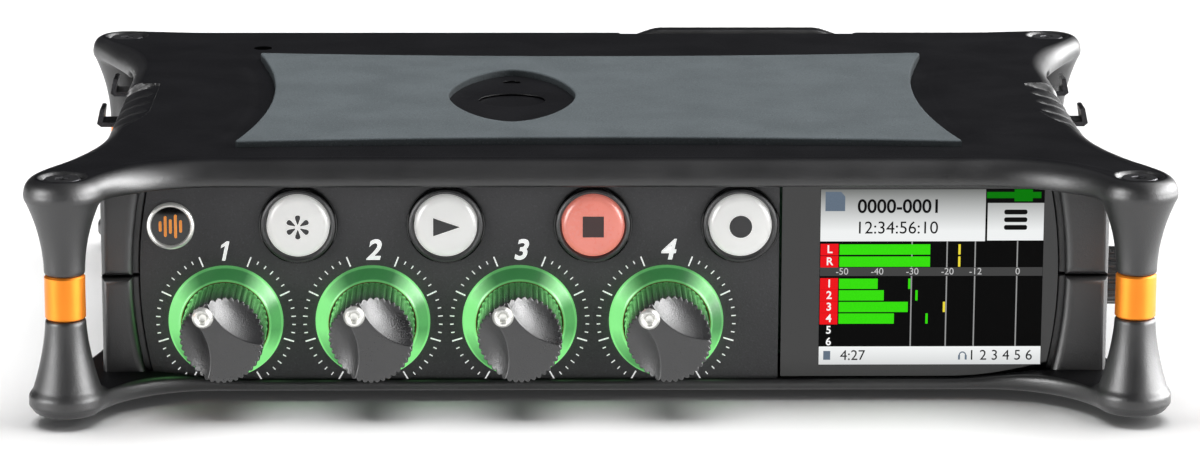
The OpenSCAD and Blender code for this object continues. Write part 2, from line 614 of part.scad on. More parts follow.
// Contact springs for the cells, drawn as stepped cones, in a block that stands on the main board
module battery_contacts() color([0.8, 0.75, 0.5]) for (x = cell_x)
    translate([x, tray_front - 1.2, cell_z]) backwards() {
        cylinder(r = 2.6, h = 0.5);
        cylinder(r = 1.6, h = 1.2);
        cylinder(r = 1.0, h = 1.72);
    }
module contact_block() color([0.2, 0.2, 0.2]) union() {
    box([-30, tray_front - 3.6, cell_z - 4.2], [30, tray_front - 1.21, cell_z + 5]);
    for (x = [-29.5, 26.5]) box([x, tray_front - 3.6, base_z + 4.31], [x + 3, tray_front - 1.21, cell_z - 4]);
}

module sd_card() color([0.1, 0.16, 0.4]) difference() {
    box([card_x - 1.05, rear_face_y - 31, base_z + 4.5], [card_x + 1.05, rear_face_y + 1, base_z + 28.5]);
    translate([card_x, rear_face_y - 31, base_z + 28.5]) rotate([45, 0, 0]) cube([4, 5, 5], center = true);
}
module sd_socket() color([0.65, 0.65, 0.67]) difference() {
    box([card_x - 2.2, rear_face_y - 31.5, base_z + 4.31], [card_x + 2.2, rear_face_y - 3, base_z + 29.2]);
    box([card_x - 1.15, rear_face_y - 31.1, base_z + 4.4], [card_x + 1.15, rear_face_y, base_z + 28.6]);
}

// The capsule behind the small hole in the top shell
module slate_microphone() color([0.6, 0.6, 0.6]) translate([-52.6, 40, ceiling_z - 2.1]) cylinder(r = 2, h = 2.09);

top_shell();
bottom_shell();
front_panel();
left_panel();
right_panel();
rear_panel();
top_pad();
bottom_pad();
post_rings();
post_studs();
post_screws();
thread_inserts();
badge_ring();
badge_face();
knob_1();
knob_2();
knob_3();
knob_4();
knob_pointer_1();
knob_pointer_2();
knob_pointer_3();
knob_pointer_4();
encoder_rotor_1();
encoder_rotor_2();
encoder_rotor_3();
encoder_rotor_4();
encoder_bodies();
light_rings();
button_star();
button_play();
button_stop();
button_record();
button_bezels();
switch_bodies();
display_window();
display_module();
front_board();
main_board();
board_screws();
ribbon_cable();
slate_microphone();
headphone_knob();
headphone_rotor();
combo_jacks();
jack_latch_1();
jack_latch_2();
jack_latch_3();
jack_latch_4();
mini_jacks();
usb_port();
timecode_port();
power_slider();
power_switch();
battery_sled();
battery_cells();
sled_latch();
battery_contacts();
contact_block();
sd_card();
sd_socket();
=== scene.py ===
"""Looks for the portable field recorder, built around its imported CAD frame.

Lengths are in millimetres in the row frame (+Z up, control panel towards -Y) and become metres
where a mesh is made. The shells and the gain knobs are sculpted as fields whose zero surface is
the skin; the rest is turned, cut from flat outlines, or carried over from the CAD.
"""
import math

import bpy
import numpy as np
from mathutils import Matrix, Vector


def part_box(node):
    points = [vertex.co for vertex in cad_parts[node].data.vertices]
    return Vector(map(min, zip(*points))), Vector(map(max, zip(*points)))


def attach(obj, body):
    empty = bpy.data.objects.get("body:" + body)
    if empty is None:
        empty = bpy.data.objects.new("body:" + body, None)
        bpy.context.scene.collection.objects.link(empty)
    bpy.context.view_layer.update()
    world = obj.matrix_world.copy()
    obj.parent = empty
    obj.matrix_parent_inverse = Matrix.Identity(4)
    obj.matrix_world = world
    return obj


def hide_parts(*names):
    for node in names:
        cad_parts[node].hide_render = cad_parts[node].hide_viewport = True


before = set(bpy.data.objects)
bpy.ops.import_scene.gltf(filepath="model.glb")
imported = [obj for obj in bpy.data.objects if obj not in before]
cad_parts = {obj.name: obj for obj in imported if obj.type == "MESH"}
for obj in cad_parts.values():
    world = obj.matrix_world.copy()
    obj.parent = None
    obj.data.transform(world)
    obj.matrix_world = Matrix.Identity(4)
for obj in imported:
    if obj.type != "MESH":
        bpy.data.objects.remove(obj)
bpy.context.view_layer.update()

import openvdb
from mathutils import Matrix, Vector

MM = 0.001
BODY = "recorder"


def node_box(name):
    """Lowest and highest corner of a CAD node in millimetres."""
    return tuple(np.array(corner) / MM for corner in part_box(name))


def middle(name):
    """The centre of a CAD node's box in millimetres."""
    low, high = node_box(name)
    return (low + high) / 2


# Sizes taken from the frame
HALF_W, HALF_D, TOP_Z = node_box("top_shell")[1]
BASE_Z = node_box("bottom_shell")[0][2]
SPLIT_Z = (TOP_Z + BASE_Z) / 2
PANEL_Y = node_box("front_panel")[0][1]
COLUMN_Y = PANEL_Y - 1
RING_LOW, RING_HIGH = node_box("post_rings")
RING_H = RING_HIGH[2] - RING_LOW[2]
PAD_TOP = node_box("top_pad")[1][2]
LATCH_LOW, LATCH_HIGH = node_box("sled_latch")
LATCH_X = middle("sled_latch")[0]
LATCH_HALF = LATCH_HIGH[0] - LATCH_X
THREAD_X, THREAD_Y = middle("thread_inserts")[:2]
KNOB_H = PANEL_Y - node_box("knob_1")[0][1]

# Sizes of the shells
CORNER_R = 5.4
POST_X, POST_Y = HALF_W - CORNER_R, HALF_D - CORNER_R
WAIST_X = 71.5
COLUMN_X = {-1: WAIST_X - 0.9, 1: WAIST_X + 0.8}
LATCH_BAR = 2.9
FRONT_Y = PANEL_Y - 2.84
REAR_Y = HALF_D - 0.6
LIP_Z = TOP_Z - 3.4
CEILING_Z = TOP_Z - 2.2
RIM_Z = BASE_Z + 2.9
BASE_SETBACK = 1.2
ROLL_R = 2.9
NECK_R = 2.85
SIDE_X = WAIST_X - 2.3
REAR_FACE_Y = 49

# The two axes that each face of the recorder is drawn along, and the one that leaves it
FACES = {
    "front": ((1, 0, 0), (0, 0, 1), (0, -1, 0)),
    "rear": ((-1, 0, 0), (0, 0, 1), (0, 1, 0)),
    "left": ((0, -1, 0), (0, 0, 1), (-1, 0, 0)),
    "right": ((0, 1, 0), (0, 0, 1), (1, 0, 0)),
    "top": ((1, 0, 0), (0, 1, 0), (0, 0, 1)),
    "bottom": ((-1, 0, 0), (0, 1, 0), (0, 0, -1)),
}


def to_face(points, face, origin):
    """Local points (across, up, out) placed on a face of the recorder, from an origin in mm."""
    return np.asarray(points, float) @ np.array(FACES[face], float) + np.array(origin, float)


# ---------------------------------------------------------------- colours and materials

def rgb(r, g, b):
    """A screen colour from 0 to 255 as the linear colour that Blender wants."""
    return tuple(c / 12.92 if c <= 0.04045 else ((c + 0.055) / 1.055) ** 2.4
                 for c in (r / 255, g / 255, b / 255)) + (1.0,)


class Nodes:
    """A short way to write the node tree of a material, or of the world."""

    def __init__(self, name, world=False):
        blocks = bpy.data.worlds if world else bpy.data.materials
        self.owner = blocks.new(name)
        self.owner.use_nodes = True
        self.tree = self.owner.node_tree
        self.shader = self.tree.nodes["Background" if world else "Principled BSDF"]
        self.place = self.add("ShaderNodeTexCoord").outputs["Object"]

    def add(self, kind, inputs=(), **settings):
        node = self.tree.nodes.new(kind)
        for key, value in settings.items():
            setattr(node, key, value)
        for key, value in dict(inputs).items():
            self.feed(node.inputs[key], value)
        return node

    def feed(self, socket, value):
        if isinstance(value, bpy.types.NodeSocket):
            self.tree.links.new(value, socket)
        else:
            socket.default_value = value

    def surface(self, **inputs):
        """Feeds the shader's inputs, whose names have underscores here instead of spaces."""
        for name, value in inputs.items():
            self.feed(self.shader.inputs[name.replace("_", " ")], value)

    def noise(self, size_mm, detail=3, rough=0.55, stretch=(1, 1, 1)):
        """Noise from 0 to 1 whose grains are about size_mm across."""
        place = self.add("ShaderNodeMapping", {"Vector": self.place, "Scale": stretch})
        return self.add("ShaderNodeTexNoise", {
            "Vector": place.outputs["Vector"], "Scale": 1 / (size_mm * MM),
            "Detail": detail, "Roughness": rough}).outputs["Fac"]

    def span(self, value, low, high, out_low, out_high):
        """Maps low..high to out_low..out_high, and holds beyond them."""
        return self.add("ShaderNodeMapRange", {
            "Value": value, "From Min": low, "From Max": high,
            "To Min": out_low, "To Max": out_high}).outputs["Result"]

    def mix(self, amount, a, b):
        node = self.add("ShaderNodeMix", {"Factor": amount, "A": a, "B": b}, data_type="RGBA")
        return node.outputs["Result"]

    def sums(self, a, b, kind="ADD"):
        return self.add("ShaderNodeMath", {0: a, 1: b}, operation=kind).outputs[0]

    def edges(self):
        """1 on convex edges and 0 elsewhere, for wear."""
        point = self.add("ShaderNodeNewGeometry").outputs["Pointiness"]
        return self.span(point, 0.52, 0.58, 0, 1)


def shade(value, factor):
    """A linear colour made darker or lighter."""
    return tuple(min(1, c * factor) for c in value[:3]) + (1.0,)


def finish(name, colour, rough, metal=0.0, grain=0.3, bump=0.25, mottle=0.12, wear=0.0,
           speckle=0.0, coat=0.0, stretch=(1, 1, 1), specular=0.5, glow=None, matt_top=1.0):
    """A moulded, cast or turned finish: colour mottle, grain, roughness variation and worn edges.

    A face that looks up keeps only matt_top of the specular level. A glow makes the colour shine by itself,
    which paints in light on parts that are no lamp.
    """
    n = Nodes(name)
    broad, fine = n.noise(9, 2), n.noise(grain, 4, 0.6, stretch)
    tone = n.mix(n.span(broad, 0.35, 0.65, 0, 1), shade(colour, 1 - mottle), shade(colour, 1 + mottle))
    if speckle:
        spots = n.span(n.noise(grain * 0.8, 1), 0.6, 0.72, 0, speckle)
        pits = n.span(n.noise(grain * 1.1, 1), 0.28, 0.4, speckle, 0)
        tone = n.mix(spots, tone, shade(colour, 2.1))
        tone = n.mix(pits, tone, shade(colour, 0.45))
    if wear:
        scuffed = n.sums(n.edges(), n.span(fine, 0.4, 0.62, 0, wear), "MULTIPLY")
        tone = n.mix(scuffed, tone, shade(colour, 2.6))
    normal = n.add("ShaderNodeNewGeometry").outputs["Normal"]
    upward = n.add("ShaderNodeSeparateXYZ", {"Vector": normal}).outputs["Z"]
    rough_low, rough_high = max(0.02, rough - 0.06), min(1, rough + 0.06)
    n.surface(Base_Color=tone, Metallic=metal, Coat_Weight=coat, Coat_Roughness=0.08,
              Specular_IOR_Level=n.span(upward, 0.9, 0.99, specular, specular * matt_top),
              Roughness=n.span(n.sums(broad, fine), 0.7, 1.3, rough_low, rough_high))
    # Painted glow: the colour shines by itself, though the part is no lamp.
    if glow:
        n.surface(Emission_Color=colour, Emission_Strength=glow)
    if bump:
        raised = n.add("ShaderNodeBump", {"Height": fine, "Strength": bump, "Distance": grain * MM * 0.25})
        n.surface(Normal=raised.outputs["Normal"])
    return n.owner


SCREEN_BASE = (0.002, 0.002, 0.002, 1)
SCREEN_SPECULAR = 0.03


def lit(name, colour):
    """A lit part of the display, under its glossy window."""
    n = Nodes(name)
    tone = n.mix(n.span(n.noise(0.12, 1), 0.4, 0.6, 0, 1), shade(colour, 0.96), shade(colour, 1.04))
    n.surface(Base_Color=SCREEN_BASE, Roughness=0.25, Specular_IOR_Level=SCREEN_SPECULAR,
              Emission_Color=tone, Emission_Strength=1.0)
    return n.owner


def shaded_grey(name, low_z, high_z, low_tone, high_tone):
    """The display's header and footer: a grey that fades from low_tone up to high_tone."""
    n = Nodes(name)
    height = n.add("ShaderNodeSeparateXYZ", {"Vector": n.place}).outputs["Z"]
    fade = n.span(height, low_z * MM, high_z * MM, 0, 1)
    n.surface(Base_Color=SCREEN_BASE, Roughness=0.3, Specular_IOR_Level=SCREEN_SPECULAR,
              Emission_Color=n.mix(fade, low_tone, high_tone), Emission_Strength=1.0)
    return n.owner


def glowing_ring(name, centre):
    """The lit ring: its glow is real, and painted highlight and shade make it deep green at the top,
    brightest at the left and low on the right, with painted bright rims at its edges.

    Only the camera and the parts close to its upper half see it glow, so that it doesn't tint the floor.
    """
    n = Nodes(name)
    offset = n.add("ShaderNodeVectorMath", {0: n.place, 1: tuple(c * MM for c in centre)},
                   operation="SUBTRACT").outputs[0]
    axes = n.add("ShaderNodeSeparateXYZ", {"Vector": offset}).outputs
    turn = n.sums(axes["X"], axes["Z"], "ARCTAN2")
    # Painted highlight and shade on the ring's glow, by angle round it, and painted highlights on its inner
    # and outer rims.
    left = n.sums(n.span(turn, -1.1, -0.5, 1, 0), n.span(turn, -2.4, -1.7, 0.3, 1), "MULTIPLY")
    upper_right = n.sums(n.span(turn, 0.4, 0.75, 0, 0.8), n.span(turn, 0.95, 1.25, 1, 0.15), "MULTIPLY")
    lower_right = n.sums(n.span(turn, 1.7, 2.2, 0, 0.85), n.span(turn, 2.6, 2.9, 1, 0), "MULTIPLY")
    right = n.sums(n.sums(upper_right, lower_right), n.span(turn, 0.9, 1.2, 0, 0.12))
    fleck = n.span(n.noise(0.35, 3), 0.3, 0.7, -0.03, 0.03)
    square = n.sums(n.sums(axes["X"], 2.0, "POWER"), n.sums(axes["Z"], 2.0, "POWER"))
    radius = n.sums(square, 0.5, "POWER")
    rims = n.sums(n.span(radius, 7.8 * MM, 7.9 * MM, 0, 0.3), n.span(radius, 6.5 * MM, 6.6 * MM, 0.35, 0))
    level = n.sums(n.sums(n.sums(left, right), fleck), rims)
    tone = n.mix(level, rgb(54, 118, 64), rgb(140, 238, 140))
    path = n.add("ShaderNodeLightPath").outputs
    upper_half = n.span(n.sums(turn, 0.0, "ABSOLUTE"), 2.0, 2.5, 1, 0)
    near = n.sums(n.span(path["Ray Length"], 0.006, 0.012, 4, 0.02), upper_half, "MULTIPLY")
    seen = n.sums(path["Is Camera Ray"], near, "MAXIMUM")
    n.surface(Base_Color=rgb(40, 96, 56), Roughness=0.3, Emission_Color=tone,
              Emission_Strength=n.sums(n.span(level, 0, 1, 0.7, 0.95), seen, "MULTIPLY"))
    n.owner.cycles.emission_sampling = "NONE"
    return n.owner


SHELL = finish("shell_satin_black", rgb(24, 24, 26), 0.44, grain=0.24, bump=0.5, mottle=0.08, wear=0.08,
               speckle=0.2, specular=0.7, matt_top=0.05)
PANEL = finish("panel_grained_black", rgb(36, 36, 39), 0.52, bump=1.0, mottle=0.1, speckle=0.7)
SIDE = finish("side_panel_black", rgb(38, 38, 40), 0.52, bump=0.6, mottle=0.1)
PAD = finish("pad_grey", rgb(84, 90, 93), 0.7, bump=0.6, mottle=0.08, speckle=0.4,
             specular=0.03)
RUBBER = finish("foot_rubber", rgb(36, 36, 38), 0.8, grain=0.5, bump=0.8)
# A near-black sheet without sheen that paints the shade in the slate microphone's opening.
MESH = finish("microphone_hole_painted_shade", rgb(3, 3, 3), 0.9, bump=0.5, specular=0.0)
# The orange rings' glow is painted light that brightens the anodised metal.
ORANGE_PAINTED_GLOW = finish("ring_anodised_orange_painted_glow", rgb(234, 134, 26), 0.42, metal=0.6, grain=0.14, bump=0.2,
                mottle=0.04, stretch=(1, 1, 0.08), glow=0.08)
STEEL = finish("turned_steel", rgb(196, 196, 192), 0.28, metal=1, grain=0.2, bump=0.15, mottle=0.05)
SCREW = finish("screw_black_oxide", rgb(64, 64, 66), 0.4, metal=0.8, grain=0.25, bump=0.3, wear=0.5)
LATCH = finish("latch_black_steel", rgb(44, 44, 46), 0.3, metal=0.9, grain=0.2, bump=0.2, wear=0.5)
# The chrome's glow is painted light that keeps the pointer pins and the badge ring evenly bright.
CHROME_PAINTED_GLOW = finish("bright_chrome", rgb(206, 206, 202), 0.38, metal=0.85, grain=0.4, bump=0.0, mottle=0.02,
                glow=0.16)
GLOSS = finish("gloss_black", rgb(7, 7, 8), 0.1, grain=0.4, bump=0.02, coat=0.2, specular=0.4)
KNOB = finish("knob_moulded", rgb(30, 30, 32), 0.32, grain=0.2, bump=1.0, mottle=0.08, speckle=0.5,
              wear=0.1, specular=0.8)
# The print's white is its own colour; its glow is painted light.
PRINT_PAINTED_GLOW = finish("printed_white_painted_glow", rgb(226, 226, 226), 0.6, grain=0.1, bump=0.1, mottle=0.04, glow=0.7)
# The button caps' glow is partly their backlight and partly painted light that brightens their faces.
WHITE_CAP_BACKLIT_AND_PAINTED = finish("button_white_backlit_and_painted_glow", rgb(228, 228, 226), 0.3, grain=0.5, bump=0.05, mottle=0.02, glow=0.42)
RED_CAP_BACKLIT_AND_PAINTED = finish("button_red_backlit_and_painted_glow", rgb(228, 132, 118), 0.3, grain=0.5, bump=0.05, mottle=0.05, glow=0.5)
SYMBOL = finish("symbol_black", rgb(34, 34, 36), 0.45, grain=0.2, bump=0.1)
SYMBOL_RED = finish("symbol_dark_red", rgb(60, 22, 20), 0.5, grain=0.2, bump=0.1)
BEZEL = finish("bezel_dark", rgb(46, 46, 48), 0.42, grain=0.2, bump=0.3)
EMBER = finish("ring_gasket_orange", rgb(112, 52, 22), 0.5, bump=0.2)
# The badge bars' glow is painted light on their orange print.
BADGE_BARS_PAINTED_GLOW = finish("badge_orange_painted_glow", rgb(255, 150, 50), 0.3, grain=0.2, bump=0.1, glow=0.2)
CONNECTOR = finish("connector_black", rgb(24, 24, 26), 0.4, bump=0.3, wear=0.15, matt_top=0.1)
CASE = finish("case_grey", rgb(96, 98, 100), 0.5, bump=0.3)
BOARD = finish("board_green", rgb(20, 84, 48), 0.42, grain=0.5, bump=0.3, mottle=0.2)
CABLE = finish("cable_amber", rgb(196, 130, 60), 0.35, grain=0.4, bump=0.1)
CELL = finish("cell_jacket", rgb(186, 160, 96), 0.3, metal=0.4, grain=0.6, bump=0.05, mottle=0.1)
CARD = finish("card_plastic", rgb(28, 40, 86), 0.45, bump=0.2)


# ---------------------------------------------------------------- pieces

def add_piece(name, shape, material, body=BODY, smooth_angle=35, replaces=None):
    """A mesh piece from a shape, which is (points in mm, faces), smooth up to smooth_angle."""
    points, faces = shape
    mesh = bpy.data.meshes.new(name)
    mesh.from_pydata((np.asarray(points, float) * MM).tolist(), [], [tuple(f) for f in faces])
    mesh.validate()
    mesh.materials.append(material)
    mesh.polygons.foreach_set("use_smooth", [smooth_angle > 0] * len(mesh.polygons))
    if smooth_angle > 0:
        mesh.set_sharp_from_angle(angle=math.radians(smooth_angle))
    piece = link(name, mesh)
    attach(piece, body)
    if replaces:
        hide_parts(replaces)


def link(name, data):
    """A new object in the scene that shows a mesh, curve, light or camera."""
    thing = bpy.data.objects.new(name, data)
    bpy.context.scene.collection.objects.link(thing)
    return thing


def turned(profile, steps=96):
    """Points and faces of a profile of (radius, out) turned about the out axis. It closes on itself."""
    turn = np.arange(steps) * 2 * math.pi / steps
    points, rings = [], []
    for radius, out in profile:
        if radius < 1e-6:
            rings.append([len(points)] * steps)
            points.append((0, 0, out))
        else:
            rings.append(list(range(len(points), len(points) + steps)))
            points += [(radius * math.cos(a), radius * math.sin(a), out) for a in turn]
    faces = []
    for k, ring in enumerate(rings):
        after = rings[(k + 1) % len(rings)]
        for i in range(steps):
            j = (i + 1) % steps
            corners = list(dict.fromkeys([ring[i], ring[j], after[j], after[i]]))
            if len(corners) > 2:
                faces.append(corners)
    return np.array(points), faces


def joined(*parts):
    """Several shapes as one."""
    points, faces, start = [], [], 0
    for part_points, part_faces in parts:
        points.append(np.asarray(part_points, float))
        faces += [[start + i for i in face] for face in part_faces]
        start += len(part_points)
    return np.vstack(points), faces


def moved(shape, across, up, out):
    """A shape moved along the three axes of its face."""
    points, faces = shape
    return np.asarray(points, float) + (across, up, out), faces


def placed(shape, origin, turn=0, face="front"):
    """A shape turned by some degrees about its out axis and put on a face."""
    points, faces = shape
    c, s = math.cos(math.radians(turn)), math.sin(math.radians(turn))
    spun = np.asarray(points, float) @ np.array([[c, s, 0], [-s, c, 0], [0, 0, 1]])
    return to_face(spun, face, origin), faces


def cut_sheet(outlines, thickness, bevel=0.0, segments=3):
    """Flat outlines, with inner ones as holes, as a sheet from out = 0 to thickness, edges rounded."""
    curve = bpy.data.curves.new("outline", "CURVE")
    curve.dimensions, curve.fill_mode = "2D", "BOTH"
    curve.extrude = thickness / 2 - bevel
    curve.bevel_depth, curve.bevel_resolution, curve.offset = bevel, segments, -bevel
    for outline in outlines:
        spline = curve.splines.new("POLY")
        spline.points.add(len(outline) - 1)
        for point, (x, y) in zip(spline.points, outline):
            point.co = (x, y, 0, 1)
        spline.use_cyclic_u = True
    return baked(curve, thickness / 2)


def lettering(text, height, thickness, slant=0.0, bold=0.0):
    """Plain digits as a sheet, centred, with capitals of the given height."""
    curve = bpy.data.curves.new("digits", "FONT")
    curve.body, curve.size = text, height / 0.69
    curve.align_x, curve.align_y = "CENTER", "CENTER"
    curve.extrude, curve.shear, curve.offset = thickness / 2, slant, bold
    return baked(curve, thickness / 2)


def figure(number, height, thickness, slant):
    """A channel number, bold and slanted. The figure one is drawn with a flag."""
    if number != 1:
        return lettering(str(number), height, thickness, slant=slant, bold=0.1)
    h, stem = height / 2, 0.17 * height
    flag = [(-0.28 * height, 0.3 * height), (-0.28 * height, 0.14 * height), (-stem / 2, 0.27 * height)]
    one = np.array([(-stem / 2, -h), (stem / 2, -h), (stem / 2, h), (-stem * 0.35, h)] + flag)
    return cut_sheet([one + np.c_[one[:, 1] * slant, one[:, 1] * 0]], thickness)


def baked(curve, lift):
    """Points and faces of a filled curve, raised so that it starts at out = 0."""
    holder = link("holder", curve)
    bpy.context.view_layer.update()
    mesh = bpy.data.meshes.new_from_object(holder.evaluated_get(bpy.context.evaluated_depsgraph_get()))
    points = np.array([v.co for v in mesh.vertices]).reshape(-1, 3) + (0, 0, lift)
    faces = [list(p.vertices) for p in mesh.polygons]
    bpy.data.objects.remove(holder)
    bpy.data.curves.remove(curve)
    bpy.data.meshes.remove(mesh)
    return points, faces


def arc(centre, radius, turn):
    """Points round a centre at the angles in turn, in radians."""
    return np.c_[centre[0] + radius * np.cos(turn), centre[1] + radius * np.sin(turn)]


def circle(radius, steps=48, centre=(0, 0)):
    return arc(centre, radius, np.arange(steps) * 2 * math.pi / steps)


def rectangle(x0, y0, x1, y1, r=0.0):
    """A rectangle, with rounded corners when r is given."""
    if not r:
        return np.array([(x0, y0), (x1, y0), (x1, y1), (x0, y1)], float)
    quarter = np.radians(np.linspace(0, 90, 6))
    corners = (x1 - r, y1 - r), (x0 + r, y1 - r), (x0 + r, y0 + r), (x1 - r, y0 + r)
    return np.vstack([arc(corner, r, quarter + k * math.pi / 2) for k, corner in enumerate(corners)])


# ---------------------------------------------------------------- fields

def blend_min(a, b, reach):
    """The union of two fields, with a fillet of about reach between them."""
    h = np.clip(0.5 + 0.5 * (b - a) / reach, 0, 1)
    return b + (a - b) * h - reach * h * (1 - h)


def blend_max(a, b, reach):
    """What two fields share, with a round of about reach on the edge between them."""
    return -blend_min(-a, -b, reach)


def shared(*fields):
    """What several fields share, with sharp edges."""
    return np.maximum.reduce(np.broadcast_arrays(*fields))


def ease(value, low, high):
    """0 up to low, 1 from high, and smooth between."""
    t = np.clip((value - low) / (high - low), 0, 1)
    return t * t * (3 - 2 * t)


def slab(distance, z, low, high, low_r, high_r):
    """A plate around a plan distance, between two heights, with rounded lower and upper edges."""
    upper = z > (low + low_r + high - high_r) / 2
    r = np.where(upper, high_r, low_r)
    across = distance + r
    along = np.where(upper, z - high, low - z) + r
    outside = np.hypot(np.maximum(across, 0), np.maximum(along, 0))
    return np.minimum(np.maximum(across, along), 0) + outside - r


def sculpt(field, xs, ys, zs, settle=4):
    """The surface where a field is zero, from samples, then moved onto the field settle times."""
    values = field(xs[:, None, None], ys[None, :, None], zs[None, None, :])
    grid = openvdb.FloatGrid(9.0)
    grid.copyFromArray(np.ascontiguousarray(np.clip(values, -8, 8), np.float32))
    points, quads = grid.convertToQuads(0.0)
    points = np.stack([np.interp(points[:, k], np.arange(len(axis)), axis)
                       for k, axis in enumerate((xs, ys, zs))], axis=1)
    step = 0.02
    for _ in range(settle):
        slope = np.stack([(field(*(points + delta).T) - field(*(points - delta).T)) / (2 * step)
                          for delta in np.eye(3) * step], axis=1)
        length = np.maximum((slope * slope).sum(1), 0.2)
        move = -(field(*points.T) / length)[:, None] * slope
        points += np.clip(move, -0.12, 0.12)
    a, b, c = (points[quads[:, k]] for k in (0, 1, 2))
    outward = (np.cross(b - a, c - b) * slope[quads[:, 0]]).sum(1).mean() > 0
    return points, quads if outward else quads[:, ::-1]


class Plan:
    """Signed distance to the body's plan outline, sampled once on a grid and read back between samples."""

    PITCH = 0.25

    def __init__(self, setback):
        run = self.half_outline(setback)
        self.origin = np.array([-1.0, -HALF_D - 3])
        counts = ((np.array([HALF_W + 3, HALF_D + 3]) - self.origin) / self.PITCH).astype(int) + 2
        x = self.origin[0] + np.arange(counts[0])[:, None] * self.PITCH
        y = self.origin[1] + np.arange(counts[1])[None, :] * self.PITCH
        nearest, inside = np.full(counts, 1e9), np.zeros(counts, bool)
        for (ax, ay), (bx, by) in zip(run, np.roll(run, -1, axis=0)):
            dx, dy = bx - ax, by - ay
            if abs(ax) > 1e-6 or abs(bx) > 1e-6:
                length = max(dx * dx + dy * dy, 1e-9)
                t = np.clip(((x - ax) * dx + (y - ay) * dy) / length, 0, 1)
                nearest = np.minimum(nearest, (x - ax - t * dx) ** 2 + (y - ay - t * dy) ** 2)
            if ay != by:
                inside ^= ((ay > y) != (by > y)) & (np.maximum(x, 0.001) < ax + (y - ay) * dx / dy)
        self.values = np.where(inside, -1, 1) * np.sqrt(nearest)

    @staticmethod
    def half_outline(setback):
        """The right half of the outline: middle of the front, round the corners, middle of the rear."""
        def run(reach, r, side, waist_end, flare, waist_r, hip_r):
            """From the straight edge round the post (side -1 is the front) and the hip into the waist."""
            flare, fine = math.radians(flare), math.radians(2.5)
            out = HALF_W - WAIST_X - (waist_r + hip_r) * (1 - math.cos(flare))
            hip = (HALF_W - hip_r, waist_end + (waist_r + hip_r) * math.sin(flare) + out / math.tan(flare))
            dx = math.sqrt((r + CORNER_R) ** 2 - (reach - r) ** 2)
            dip = math.atan2(reach - r, dx)
            arcs = [((POST_X - dx, POST_Y - reach + r), r, -math.pi / 2, dip),
                    ((POST_X, POST_Y), CORNER_R, math.pi + dip, 0),
                    (hip, hip_r, 0, -flare),
                    ((WAIST_X + waist_r, waist_end), waist_r, math.pi - flare, math.pi)]
            points = []
            for centre, radius, a0, a1 in arcs:
                points.append(arc(centre, radius, np.linspace(a0, a1, max(2, int(abs(a1 - a0) / fine)))))
            return np.vstack(points) * (1, side)
        front = run(POST_Y + FRONT_Y + setback, 16.6, -1, 18.8, 20.9, 56, 13)
        rear = run(POST_Y - REAR_Y, 40, 1, 25.5, 27, 42, 6)
        return np.vstack([[(0, FRONT_Y + setback)], front, rear[::-1], [(0, REAR_Y)]])

    def __call__(self, x, y):
        x, y = np.broadcast_arrays(np.abs(x), y)
        i, j = (x - self.origin[0]) / self.PITCH, (y - self.origin[1]) / self.PITCH
        i = np.clip(i, 0, self.values.shape[0] - 1.001)
        j = np.clip(j, 0, self.values.shape[1] - 1.001)
        i0, j0 = i.astype(int), j.astype(int)
        u, v = i - i0, j - j0
        corner = self.values
        return ((corner[i0, j0] * (1 - v) + corner[i0, j0 + 1] * v) * (1 - u)
                + (corner[i0 + 1, j0] * (1 - v) + corner[i0 + 1, j0 + 1] * v) * u)


def spaced(*stops):
    """Places from (start, step), (next, step), ..., (end, 0): finer where the surface curves."""
    runs = [np.arange(a, b, step) for (a, step), (b, _) in zip(stops, stops[1:])]
    return np.append(np.concatenate(runs), stops[-1][0])


# ---------------------------------------------------------------- shells

FINE = 0.34
PLAN_X = spaced((-HALF_W - 1, FINE), (-61, 0.6), (-54, 0.3), (-50, 2.0), (57, 0.6), (61, FINE),
                (HALF_W + 1, 0))
RIB_PITCH = 6.45
RIB_Y = -12.45
RIB_COUNT = 5
GRIP_IN = 5.0
GRIP_DEEP = 3.1
DISH_DEPTH = 0.55
PLATE_RISE = 0.3
BASE_INSET = 0.3
PAD_HALF = (52.2, 34.2)
PAD_BOW = (4.0, 2.9)
SCREW_R = 2.9
MIC_X, MIC_Y, MIC_R = -52.0, 42.4, 1.3


def pad_end_distance(x, y):
    """How far a point lies outside the pad's hollow end."""
    reach = (PAD_HALF[1] ** 2 + PAD_BOW[0] ** 2) / (2 * PAD_BOW[0])
    return reach - np.hypot(np.abs(x) - (PAD_HALF[0] - PAD_BOW[0] + reach), y)


def from_post(x, y):
    """Distance to the axis of the nearest post."""
    return np.hypot(np.abs(x) - POST_X, np.abs(y) - POST_Y)


def inner_room(x, y):
    """The space between the side panels, the control panel and the rear panel, seen from above."""
    half = (REAR_FACE_Y - PANEL_Y) / 2
    return np.abs(x) - SIDE_X, np.abs(y - PANEL_Y - half) - half


def grip_reach(y):
    """How far in from the waist the grip is hollowed, narrowing to nothing at its ends."""
    front = 1 - np.clip((RIB_Y + 5.5 - y) / 17.5, 0, 1) ** 1.6
    rear = RIB_Y + (RIB_COUNT - 1) * RIB_PITCH
    return GRIP_IN * front * (1 - ease(y, rear - 0.5, rear + 0.9))


